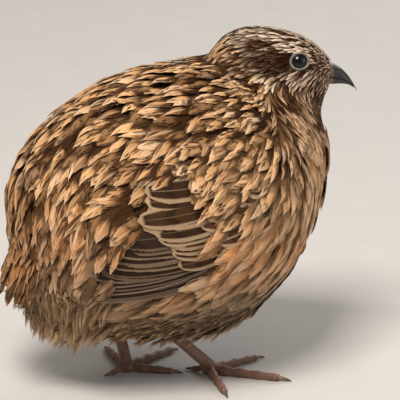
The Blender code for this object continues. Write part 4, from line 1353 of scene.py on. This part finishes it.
def stiff_piece(name, points, form, side, roots, finish, colours):
    """One mesh of all the feathers of a wing or of the tail, with their maps and colours."""
    size = len(form[0])
    faces = repeated(form[1], len(points), size)
    ground, dark, pale, marks = colours
    return mesh_object(name, np.vstack(points), faces[:, ::-1] if side > 0 else faces, finish,
                       feather_maps(form, len(points), np.array(roots)),
                       coat_marks(size, ground, with_share(dark, NO_CENTRE),
                                  with_share(pale, THIN_SHAFT), marks))


def shell_point(x, z, height, side):
    """Points over the egg-shaped shell that the folded wing follows."""
    a, b = (x - SHELL_CENTRE[0]) / SHELL_LENGTH, (z - SHELL_CENTRE[1]) / SHELL_HEIGHT
    y = SHELL_WIDTH * np.sqrt(np.maximum(0.02, 1 - a * a - b * b))
    normal = unit(np.stack([a / SHELL_LENGTH, y / SHELL_WIDTH**2, b / SHELL_HEIGHT], -1))
    point = np.stack([x, y, z], -1) + normal * height[..., None]
    return point * (1, side, 1)


def wing_feather(form, root, tip, width, height, side):
    """Points of one feather of the folded wing, from its root to its tip."""
    outline, _, loose, _ = form
    across, along = outline[:, 0], outline[:, 1]
    length = np.hypot(*(tip - root))
    ahead = (tip - root) / length
    below = np.array((-ahead[1], ahead[0]))
    bow = BOW * np.sin(np.pi * np.clip(along, 0, 1))
    wild = loose * CHANCE.normal(0, RAGGED_EDGE, len(loose)) * width
    off = across * width + bow + wild
    x = root[0] + ahead[0] * length * along + below[0] * off
    z = root[1] + ahead[1] * length * along + below[1] * off
    rise = (height - ROOT_DIP * (1 - along) ** 2 + TILT * across - DOME * across**2
            - TIP_DIP * smooth(0.8, 1.0, along))
    return shell_point(x, z, rise, side)


def wing_feathers(side_name, side, finishes):
    """A folded wing, tier by tier, each feather laid like a roof tile."""
    form = vane_form(20, 9)
    for group, finish in finishes.items():
        points, roots, colours = [], [], []
        tiers = [t for t in WING_TIERS if (t[0] in FLIGHT_TIERS) == (group == "flight")]
        for tier, count, *ends, width0, width1, height0, height1 in tiers:
            root0, root1, tip0, tip1 = np.array(ends, float)
            for share in np.arange(count) / (count - 1):
                stray = CHANCE.normal(0, WING_STRAY[group], 4)
                root = root0 * (1 - share) + root1 * share + stray[:2]
                tip = tip0 * (1 - share) + tip1 * share + stray[2:]
                if tier == "primary":
                    tip[0] = tip0[0] + (tip1[0] - tip0[0]) * share**0.55
                points.append(wing_feather(form, root, tip, lerp(width0, width1, share),
                                           lerp(height0, height1, share), side))
                roots.append((root - WING_MAP_START) / WING_MAP_SPAN * 0.9 + 0.05)
                *tones, (bars, shaft, edge) = WING_COLOURS[tier]
                edge *= CHANCE.uniform(LEAST_BORDER[group], 1.0)
                colours.append((*tones, (bars, shaft, edge)))
        colours = [np.array(rows) for rows in zip(*colours)]
        made = stiff_piece(f"wing_{side_name}_{group}", points, form, side, roots, finish, colours)
        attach(made, BODY)
        if group == "flight":
            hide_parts("wing_" + side_name)


TAIL_ROOT, TAIL_END = np.array((-50.0, 0, 57.0)), np.array((-58.5, 0, 30.5))
TAIL_HALF_WIDTH = 5.5
# Rows of the tail: count, share of its length, spread, half width, height, distance back.
TAIL_TIERS = (
    (11, 1.0, 24.0, 3.3, 0.2, 0.0),
    (8, 0.84, 22.0, 3.6, 0.8, 1.0),
    (7, 0.66, 21.0, 3.8, 1.5, 3.0),
    (6, 0.55, 18.0, 4.2, 2.1, 7.0),
)


def tail_row(form, count, share, spread, width, height, back):
    """Points of the feathers of one row of the tail, and their places on the skin's map."""
    ahead = unit(TAIL_END - TAIL_ROOT)
    outward = unit(np.cross((0, 1, 0), ahead))
    reach = np.linalg.norm(TAIL_END - TAIL_ROOT)
    outline, _, loose, _ = form
    across, along = outline[:, :1], outline[:, 1:]
    points, roots = [], []
    for index in range(count):
        aside = 2 * index / (count - 1) - 1
        angle = math.radians(spread) * aside + CHANCE.normal(0, 0.06)
        heading = ahead * math.cos(angle) + np.array((0, math.sin(angle), 0))
        sideways = np.array((0, math.cos(angle), 0)) - ahead * math.sin(angle)
        start = TAIL_ROOT + (0, TAIL_HALF_WIDTH * aside, 0) - ahead * back
        own = reach * share * (1 - 0.12 * abs(aside)) + CHANCE.normal(0, 1.0)
        rise = (height - 3.2 * (1 - np.clip(along, 0, 1)) ** 2.5 - 2.6 * aside**2
                - 0.28 * (index % 2) - 0.3 * across * (1 if aside > 0 else -1)
                - 0.5 * across**2)
        wild = loose[:, None] * CHANCE.normal(0, 0.05, (len(loose), 1)) * width
        points.append(start + heading * own * along + sideways * (across * width + wild)
                      + outward * (rise + wild * 0.4))
        roots.append((0.5 + 0.35 * aside, 0.1 + 0.2 * height))
    return points, roots


def tail_feathers():
    """The short tail under rows of coverts."""
    groups = (
        ("quills", TAIL_TIERS[:1], vane_form(18, 9, 0.68, 0.7), flight_finish("tail_plumage"),
         SEPIA, BUFF, (0.8, 0.5, 0.8)),
        ("coverts", TAIL_TIERS[1:], leaf_form(18, 9, 0.60, 1.0),
         contour_finish("tail_covert_plumage"),
         lerp(RUFOUS, GOLD, 0.15) * 0.72, BUFF * 1.25, (0.9, 0.6, 0.35)))
    for group, tiers, form, finish, ground, pale, marks in groups:
        rows = [tail_row(form, *tier) for tier in tiers]
        points, roots = (sum((row[i] for row in rows), []) for i in range(2))
        count = len(points)
        tone = CHANCE.uniform(0.8, 1.15, (count, 1))
        colours = (every(ground, count) * tone, every(UMBER, count), every(pale, count),
                   every(marks, count))
        made = stiff_piece("tail_" + group, points, form, -1, roots, finish, colours)
        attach(made, BODY)
        if group == "quills":
            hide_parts("tail")


# Skin

# Legs: foot centre, offset of the ankle, heading of the middle toe.
LEGS = {
    "right": ((11.5, -7.5), (-23.4, -1.0, 22.6), math.radians(-37.0)),
    "left": ((-14.0, 4.5), (-6.7, 1.0, 31.3), math.radians(30.0)),
}
FOOT_RISE = 3.1
SKIN_RINGS, SKIN_AROUND = 170, 110
# How far the skin is darkened towards the feathers' dark brown, as painted shade in the gaps
# between feathers.
SKIN_SHADE = 0.45


def around_turn(count):
    """Even angles round a full turn."""
    return np.linspace(0, FULL_TURN, count, endpoint=False)


def leg_line(side_name):
    """The foot's centre, the way up the shank, and the ankle."""
    place, ankle, _ = LEGS[side_name]
    foot = np.array((*place, FOOT_RISE))
    return foot, unit(np.array(ankle)), foot + np.array(ankle)


def up_shank(side_name, height):
    """The place on the shank's middle line at a height."""
    foot, way, _ = leg_line(side_name)
    return foot + way * ((height - foot[2]) / way[2])


def trouser_top(side_name):
    """The height at which the shank leaves the feathers."""
    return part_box("tarsus_" + side_name)[1].z / MM


def round_limb(path, radii, around, flat=1.0):
    """Rings about a path, each narrowed sideways by flat."""
    turn = around_turn(around)[:, None]
    rings = []
    for point, way, radius in zip(path, unit(np.gradient(path, axis=0)), radii):
        side = np.cross(way, (0, 0, 1.0))
        side = (0.0, 1.0, 0.0) - way * way[1] if np.linalg.norm(side) < 0.2 else side
        side = side / np.linalg.norm(side)
        up = np.cross(side, way)
        rings.append(point + side * radius * flat * np.cos(turn) + up * radius * np.sin(turn))
    return np.array(rings)


def trouser(side_name):
    """The feathered upper part of a leg, from inside the body down to the shank."""
    _, way, ankle = leg_line(side_name)
    start = up_shank(side_name, trouser_top(side_name)) - way * 0.6
    reach = np.linalg.norm(ankle - start) + 6.0
    share = np.linspace(0, 1, 9)
    radii = 2.2 + 4.0 * smooth(0, 0.7, share)
    path = start + way * reach * share[:, None]
    points, faces, uv = closed_tube(round_limb(path, radii, 20, 0.9))
    return points, faces, PATCH_SIZE * uv + 0.5


def skin():
    """One skin under the whole coat, with the trousers of both legs."""
    at = np.repeat(np.linspace(0.0, LAST, SKIN_RINGS), SKIN_AROUND)
    angle = np.tile(around_turn(SKIN_AROUND), SKIN_RINGS)
    points = placed(surface(at, angle, -skin_depth(at)), at)
    points, faces, _ = closed_tube(points.reshape(SKIN_RINGS, SKIN_AROUND, 3))
    at, angle = np.append(at, [0.0, LAST]), np.append(angle, [0.0, 0.0])
    straight = surface(at, angle)
    ground = plumage(at, angle, straight)[0]
    ground = blend(smooth(11.2, 12.2, at), ground, head_colour(at, angle, straight)[0])
    # Painted shade: the skin darkened towards umber so the gaps between feathers look shadowed.
    ground = blend(np.full(len(ground), SKIN_SHADE), ground, UMBER)
    trousers = [trouser(side_name) for side_name in ("left", "right")]
    shades = [ground] + [every(GREY_BUFF * 0.7, len(limb[0])) for limb in trousers]
    points, faces, uvs = joined([(points, faces, skin_map(at, angle)), *trousers])
    made = mesh_object("skin", points, faces, skin_finish("down"), {"OFBake": uvs},
                       {"ground": with_share(np.vstack(shades), 1.0)})
    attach(made, BODY)
    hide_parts("torso", "neck", "head", "thigh_left", "thigh_right")


# Eyes and bill

EYEBALL_RADIUS, LID_RADIUS = 3.5, 2.75
# The lid's opening as shares of its radius. Its rim: half thickness and how far that varies
# round the eye, half depth, and how far the rim stands off the face.
LID_LONG, LID_HIGH = 1.08, 0.93
RIM_WIDE, RIM_OVAL, RIM_DEEP, RIM_OUT = 0.42, 0.06, 0.42, 0.30


def head_turned(points):
    """Points of the face, turned with the head."""
    return placed(points, np.full(len(points), float(LAST)))


def face_side(x, z, side):
    """Points of the face's side at places given for a head that looks ahead."""
    at = np.repeat(np.linspace(HEAD_AT, LAST, 160), 120)
    angle = np.tile(np.linspace(0.05, math.pi - 0.05, 120), 160)
    cloud = surface(at, angle)
    near = [np.argmin((cloud[:, 0] - px) ** 2 + (cloud[:, 2] - pz) ** 2) for px, pz in zip(x, z)]
    return np.stack([x, cloud[near, 1] * side, z], 1)


def eyeball(side_name, centre, axis, finish):
    """A round ball that looks along the axis."""
    up = unit(np.array((0, 0, 1.0)) - axis * axis[2])
    across = np.cross(up, axis)
    around = around_turn(40)[:, None]
    circle = across * np.cos(around) + up * np.sin(around)
    rings = [centre + EYEBALL_RADIUS * (axis * math.cos(turn) + math.sin(turn) * circle)
             for turn in np.linspace(0.02, 0.98, 30) * math.pi]
    points, faces, uv = closed_tube(rings)
    made = mesh_object("eye_" + side_name + "_ball", points, faces, finish, {"Shape": uv})
    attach(made, BODY)
    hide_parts("eye_" + side_name)


def eyelid(side_name, rim, axis, finish):
    """A soft ring along the rim of the eye."""
    bend = around_turn(14)[:, None]
    rings = []
    for place, out, turn in zip(rim, unit(rim - rim.mean(0)), around_turn(len(rim))):
        wide = RIM_WIDE + RIM_OVAL * math.cos(2 * turn)
        rings.append(place + axis * RIM_OUT + out * wide * np.cos(bend)
                     + axis * RIM_DEEP * np.sin(bend))
    points, faces, uv = closed_tube([*rings, rings[0]], closed_ends=False)
    made = mesh_object("eye_" + side_name + "_rim", points, faces, finish, {"Shape": uv})
    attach(made, BODY)


def eyes():
    """Both eyes with their lids."""
    ball_finish, rim_finish = eye_finish(), lid_finish()
    turn = around_turn(48)
    for side_name, side in (("left", 1), ("right", -1)):
        low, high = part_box("eye_" + side_name)
        centre = np.array((low + high) / 2) / MM - (SHIFT_X, 0, 0)
        rim = head_turned(face_side(EYE_X + LID_RADIUS * LID_LONG * np.cos(turn),
                                    EYE_Z + LID_RADIUS * LID_HIGH * np.sin(turn), side))
        axis = unit(rim.mean(0) - centre)
        eyeball(side_name, centre, axis, ball_finish)
        eyelid(side_name, rim, axis, rim_finish)


# The bill from root to tip: distance ahead, heights of ridge, mouth and keel, half width.
BILL_SECTIONS = np.array((
    (0.0, 105.0, 100.6, 97.4, 3.7),
    (2.0, 104.4, 100.3, 97.5, 3.3),
    (4.6, 102.6, 99.6, 97.6, 2.6),
    (7.0, 99.9, 98.3, 97.3, 1.8),
    (8.7, 97.2, 96.4, 96.0, 1.1),
    (9.6, 95.3, 95.1, 95.05, 0.35),
))
BILL_LENGTH = 9.6
MOUTH_GAP, BILL_SUNK, LEAN_FADES = 0.08, 0.6, 6.0
LOWER_NARROWER, LOWER_ENDS_BEFORE = 0.9, 4
# Flap and slit of the nostril: distance ahead, height, half length, half height, relief.
NOSTRIL = ((3.0, 102.3, 1.5, 0.9, 0.45), (3.3, 101.35, 1.3, 0.28, -0.35))


def bill_rows():
    """The bill's sections in even steps, with their corners smoothed."""
    ahead = np.linspace(0, 1, 30) * BILL_LENGTH
    rows = np.stack([np.interp(ahead, BILL_SECTIONS[:, 0], BILL_SECTIONS[:, i])
                     for i in range(5)], 1)
    for _ in range(4):
        rows[1:-1] = 0.25 * rows[:-2] + 0.5 * rows[1:-1] + 0.25 * rows[2:]
    return rows


def bill():
    """Upper and lower bill, with a soft flap over each nostril."""
    horn = bill_finish()
    rows = bill_rows()
    belly_x, belly_z, back_x, back_z, _ = section(np.array([float(LAST)]))[0]
    lean = (back_x - belly_x) / (back_z - belly_z)
    angle = np.linspace(0, math.pi, 26)
    for name, upper in (("bill_upper", True), ("bill_lower", False)):
        rings = []
        for ahead, ridge, mouth, keel, width in rows if upper else rows[:-LOWER_ENDS_BEFORE]:
            edge, far = (mouth + MOUTH_GAP, ridge) if upper else (mouth - MOUTH_GAP, keel)
            z = edge + (far - edge) * np.sin(angle) ** 0.8
            y = width * np.cos(angle) * (1.0 if upper else LOWER_NARROWER)
            fade = 1 - min(1.0, ahead / LEAN_FADES)
            x = belly_x - BILL_SUNK + ahead + (z - belly_z) * lean * fade
            if upper:
                relief = sum(
                    height * np.exp(-((ahead - there) / long) ** 2 - ((z - level) / tall) ** 2)
                    for there, level, long, tall, height in NOSTRIL)
                y = y + np.sign(y) * relief
            rings.append(np.stack([x, y, z], 1))
        points, faces, uv = closed_tube(rings)
        made = mesh_object(name + "_horn", head_turned(points), faces, horn, {"Shape": uv})
        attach(made, BODY)
        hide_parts(name)


# Legs

TARSUS_FORE_AFT, TARSUS_SIDE = 2.15, 1.7
# Toes of each foot: name, degrees from the middle toe outward, length, radius.
TOES = {
    "right": (("middle", 0.0, 24.5, 1.72), ("outer", 59.0, 20.5, 1.6),
              ("inner", -56.0, 20.5, 1.6), ("hind", 190.0, 6.0, 1.2)),
    "left": (("middle", 0.0, 23.0, 1.72), ("outer", 60.0, 20.5, 1.6),
             ("inner", -60.0, 15.5, 1.55), ("hind", 170.0, 6.5, 1.2)),
}
PHALANX_LENGTH, PAD_SWELL = 5.6, 0.09
CLAW_LENGTH, HIND_CLAW_LENGTH = 3.9, 2.8
# How far a claw starts inside its toe, how high its tip ends, and its least radius.
CLAW_SUNK, CLAW_TIP_Z, CLAW_TIP_RADIUS = 0.4, 0.45, 0.10
# Length and height of the plates, and the least height of a toe over the floor.
SHANK_PLATE, TOE_PLATE = (1.7, 0.14), (1.35, 0.10)
LEAST_HEIGHT = 0.02
# The pad under the foot: half length, half width and half height; height of its middle.
PAD_SIZE, PAD_MIDDLE = (2.9, 2.7, 2.2), 2.0


def toe_path(side_name, angle, length, radius):
    """Middle line of a toe, its radius along that line, and its way."""
    foot, _, _ = leg_line(side_name)
    heading = LEGS[side_name][2] + (1 if side_name == "left" else -1) * math.radians(angle)
    way = np.array((math.cos(heading), math.sin(heading), 0.0))
    reach = np.linspace(0, length, int(length * 3.4))
    thick = radius * (1 - 0.30 * reach / length)
    radii = thick * (1 + PAD_SWELL * np.cos(FULL_TURN * reach / PHALANX_LENGTH))
    path = np.array((foot[0], foot[1], 0)) + way * reach[:, None]
    path[:, 2] += (foot[2] - 0.6 - radius) * (1 - smooth(0, 6.0, reach)) + thick * 0.94
    path[:, 2] = np.maximum(path[:, 2], radii * 0.9)
    return path, radii, way


def plated(rings, pitch, height, length):
    """A tube with overlapping plates raised along its top, and how far each point is in one."""
    count, around = rings.shape[:2]
    phase = np.mod(np.linspace(0, length, count) / pitch, 1.0)
    saw = smooth(0.0, 0.25, phase) * (1 - 0.25 * phase)
    top = smooth(-0.1, 0.5, np.sin(around_turn(around)))
    out = unit(rings - rings.mean(1, keepdims=True))
    raised = rings + out * (height * saw[:, None] * top[None, :])[..., None]
    raised[..., 2] = np.maximum(raised[..., 2], LEAST_HEIGHT)
    return closed_tube(raised), np.append(np.repeat(smooth(0.02, 0.22, phase), around), [1, 1])


def foot_pad(side_name):
    """The soft pad where the toes meet."""
    x, y = LEGS[side_name][0]
    long, wide, high = PAD_SIZE
    rings = [[(math.sin(t) * math.cos(a) * long + x, math.sin(t) * math.sin(a) * wide + y,
               max(LEAST_HEIGHT, math.cos(t) * high + PAD_MIDDLE)) for a in around_turn(28)]
             for t in np.linspace(0.06, 3.08, 18)]
    points, faces, uv = closed_tube(rings)
    return points, faces, uv * 0.5


def claw(toe, root, radius, way):
    """A claw that curves down from the end of a toe."""
    length = HIND_CLAW_LENGTH if toe == "hind" else CLAW_LENGTH
    share = np.linspace(0, 1, 16)
    path = root + way * ((-CLAW_SUNK + (length + 0.7) * share)[:, None])
    path[:, 2] -= (root[2] - CLAW_TIP_Z) * share**2.2
    radii = radius * 0.74 * (1 - share) ** 0.7 + CLAW_TIP_RADIUS
    return closed_tube(round_limb(path, radii, 14, 0.8))


def shank(side_name, finish):
    """The bare part of a leg."""
    foot, way, _ = leg_line(side_name)
    low, high = foot - way * 0.6, up_shank(side_name, trouser_top(side_name) + 2.0)
    share = np.linspace(0, 1, 64)
    radii = TARSUS_FORE_AFT * (0.97 - 0.10 * np.sin(math.pi * share))
    rings = round_limb(low + (high - low) * share[:, None], radii, 28,
                       TARSUS_SIDE / TARSUS_FORE_AFT)
    (points, faces, uv), plate = plated(rings, *SHANK_PLATE, np.linalg.norm(high - low))
    made = mesh_object("shank_" + side_name, points, faces, finish, {"Shape": uv},
                       {"plate": plate})
    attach(made, BODY)
    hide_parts("tarsus_" + side_name)


def foot_pieces(side_name, finish, horn):
    """The toes of a foot with their pad as one piece, and its claws as another."""
    parts, plates, claws = [], [], []
    for toe, angle, length, radius in TOES[side_name]:
        path, radii, way = toe_path(side_name, angle, length, radius)
        toe_tube, plate = plated(round_limb(path, radii, 22), *TOE_PLATE, length)
        parts.append(toe_tube)
        plates.append(plate)
        claws.append(claw(toe, path[-1], radii[-1], way))
    pad = foot_pad(side_name)
    points, faces, uvs = joined([*parts, pad])
    made = mesh_object("toes_" + side_name, points, faces, finish, {"Shape": uvs},
                       {"plate": np.concatenate([*plates, np.ones(len(pad[0]))])})
    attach(made, BODY)
    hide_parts("foot_" + side_name)
    points, faces, uvs = joined(claws)
    made = mesh_object("claws_" + side_name, points, faces, horn, {"Shape": uvs})
    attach(made, BODY)
    toes = ("inner", "middle", "outer", "hind")
    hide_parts(*(f"claw_{side_name}_{toe}" for toe in toes))


# Stage

VIEW_AZIMUTH, VIEW_ELEVATION = math.radians(-20.0), math.radians(16.0)
VIEW_DISTANCE, VIEW_FOCAL, VIEW_SENSOR = 0.8, 216.3, 36.0
VIEW_TARGET_SIDE, VIEW_TARGET_UP = 0.00848, 0.00194
# The floor runs up behind the bird: half size, where it bends, radius and height of the bend.
FLOOR_SIZE, BEND_START, BEND_ROUND, WALL_TOP = 3.0, 1.2, 0.6, 3.0
SKY, SKY_STRENGTH = (0.92, 0.90, 0.87, 1), 0.34
# Lamps: name, direction, size, power, colour.
LAMP_DISTANCE, LAMP_TARGET = 1.1, (0, 0, 0.06)
LAMPS = (
    ("key", (-0.45, -0.55, 1.1), 0.50, 21.0, (1.0, 0.94, 0.86)),
    ("fill", (0.9, -0.8, 0.45), 0.9, 4.0, (0.95, 0.97, 1.0)),
    ("rim", (0.7, 0.8, 0.8), 0.6, 4.5, (1.0, 0.97, 0.93)),
)


def add_object(name, data):
    """A new object in the scene."""
    made = bpy.data.objects.new(name, data)
    bpy.context.scene.collection.objects.link(made)
    return made


def look_from(made, place, way):
    """Puts a lamp or camera at a place, turned to look along a way."""
    made.location = place
    made.rotation_mode = "QUATERNION"
    made.rotation_quaternion = way.to_track_quat("-Z", "Y")


def backdrop():
    """A pale floor that bends up into a wall behind the bird."""
    paint = Paint("floor", 0.8)
    grain = paint.noise(paint.place(), 40.0, 4.0)
    paint.finish(paint.mix(grain, (0.60, 0.575, 0.555), (0.66, 0.635, 0.615)), grain, 0.0004, 0.2)
    profile = [(-FLOOR_SIZE, 0.0), (BEND_START, 0.0)]
    profile += [(BEND_START + BEND_ROUND * math.sin(t), BEND_ROUND - BEND_ROUND * math.cos(t))
                for t in np.linspace(0.1, math.pi / 2, 12)]
    profile.append((BEND_START + BEND_ROUND, WALL_TOP))
    turn = Matrix.Rotation(VIEW_AZIMUTH, 3, "Z")
    points = [turn @ Vector((x, y, z)) for y, z in profile for x in (-FLOOR_SIZE, FLOOR_SIZE)]
    faces = [(2 * i, 2 * i + 1, 2 * i + 3, 2 * i + 2) for i in range(len(profile) - 1)]
    mesh = bpy.data.meshes.new("floor")
    mesh.from_pydata(points, [], faces)
    mesh.materials.append(paint.material)
    mesh.shade_smooth()
    floor = add_object("floor", mesh)


def stage():
    """Backdrop, sky, lamps and the photograph's camera."""
    backdrop()
    scene = bpy.context.scene
    scene.view_settings.view_transform = "Standard"
    scene.world = bpy.data.worlds.new("studio")
    scene.world.use_nodes = True
    sky = scene.world.node_tree.nodes["Background"]
    sky.inputs["Color"].default_value = SKY
    sky.inputs["Strength"].default_value = SKY_STRENGTH
    for name, way, size, power, colour in LAMPS:
        lamp = bpy.data.lights.new(name, "AREA")
        lamp.size, lamp.energy, lamp.color = size, power, colour
        place = Vector(way) * LAMP_DISTANCE
        look_from(add_object(name, lamp), place, Vector(LAMP_TARGET) - place)

    back = Vector((math.sin(VIEW_AZIMUTH) * math.cos(VIEW_ELEVATION),
                   -math.cos(VIEW_AZIMUTH) * math.cos(VIEW_ELEVATION), math.sin(VIEW_ELEVATION)))
    right = Vector((math.cos(VIEW_AZIMUTH), math.sin(VIEW_AZIMUTH), 0))
    target = Vector((0, 0, 0.058)) + right * VIEW_TARGET_SIDE + back.cross(right) * VIEW_TARGET_UP
    data = bpy.data.cameras.new("view")
    data.lens, data.sensor_width, data.clip_start = VIEW_FOCAL, VIEW_SENSOR, 0.01
    scene.camera = add_object("view", data)
    look_from(scene.camera, target + back * VIEW_DISTANCE, -back)


skin()
body_finish = contour_finish("body_plumage")
under_coat(body_finish)
leaf_feathers(body_finish)
hanging_down()
head_feathers()
wing_finishes = {"flight": flight_finish("flight_plumage", 0.72, 0.84, 0.955),
                 "covert": flight_finish("covert_plumage", 0.54, 0.74, 0.94)}
wing_feathers("left", 1, wing_finishes)
wing_feathers("right", -1, wing_finishes)
tail_feathers()
eyes()
bill()
leg_skin, claw_horn = leg_finish(), claw_finish()
for leg_side in ("left", "right"):
    shank(leg_side, leg_skin)
    foot_pieces(leg_side, leg_skin, claw_horn)
stage()
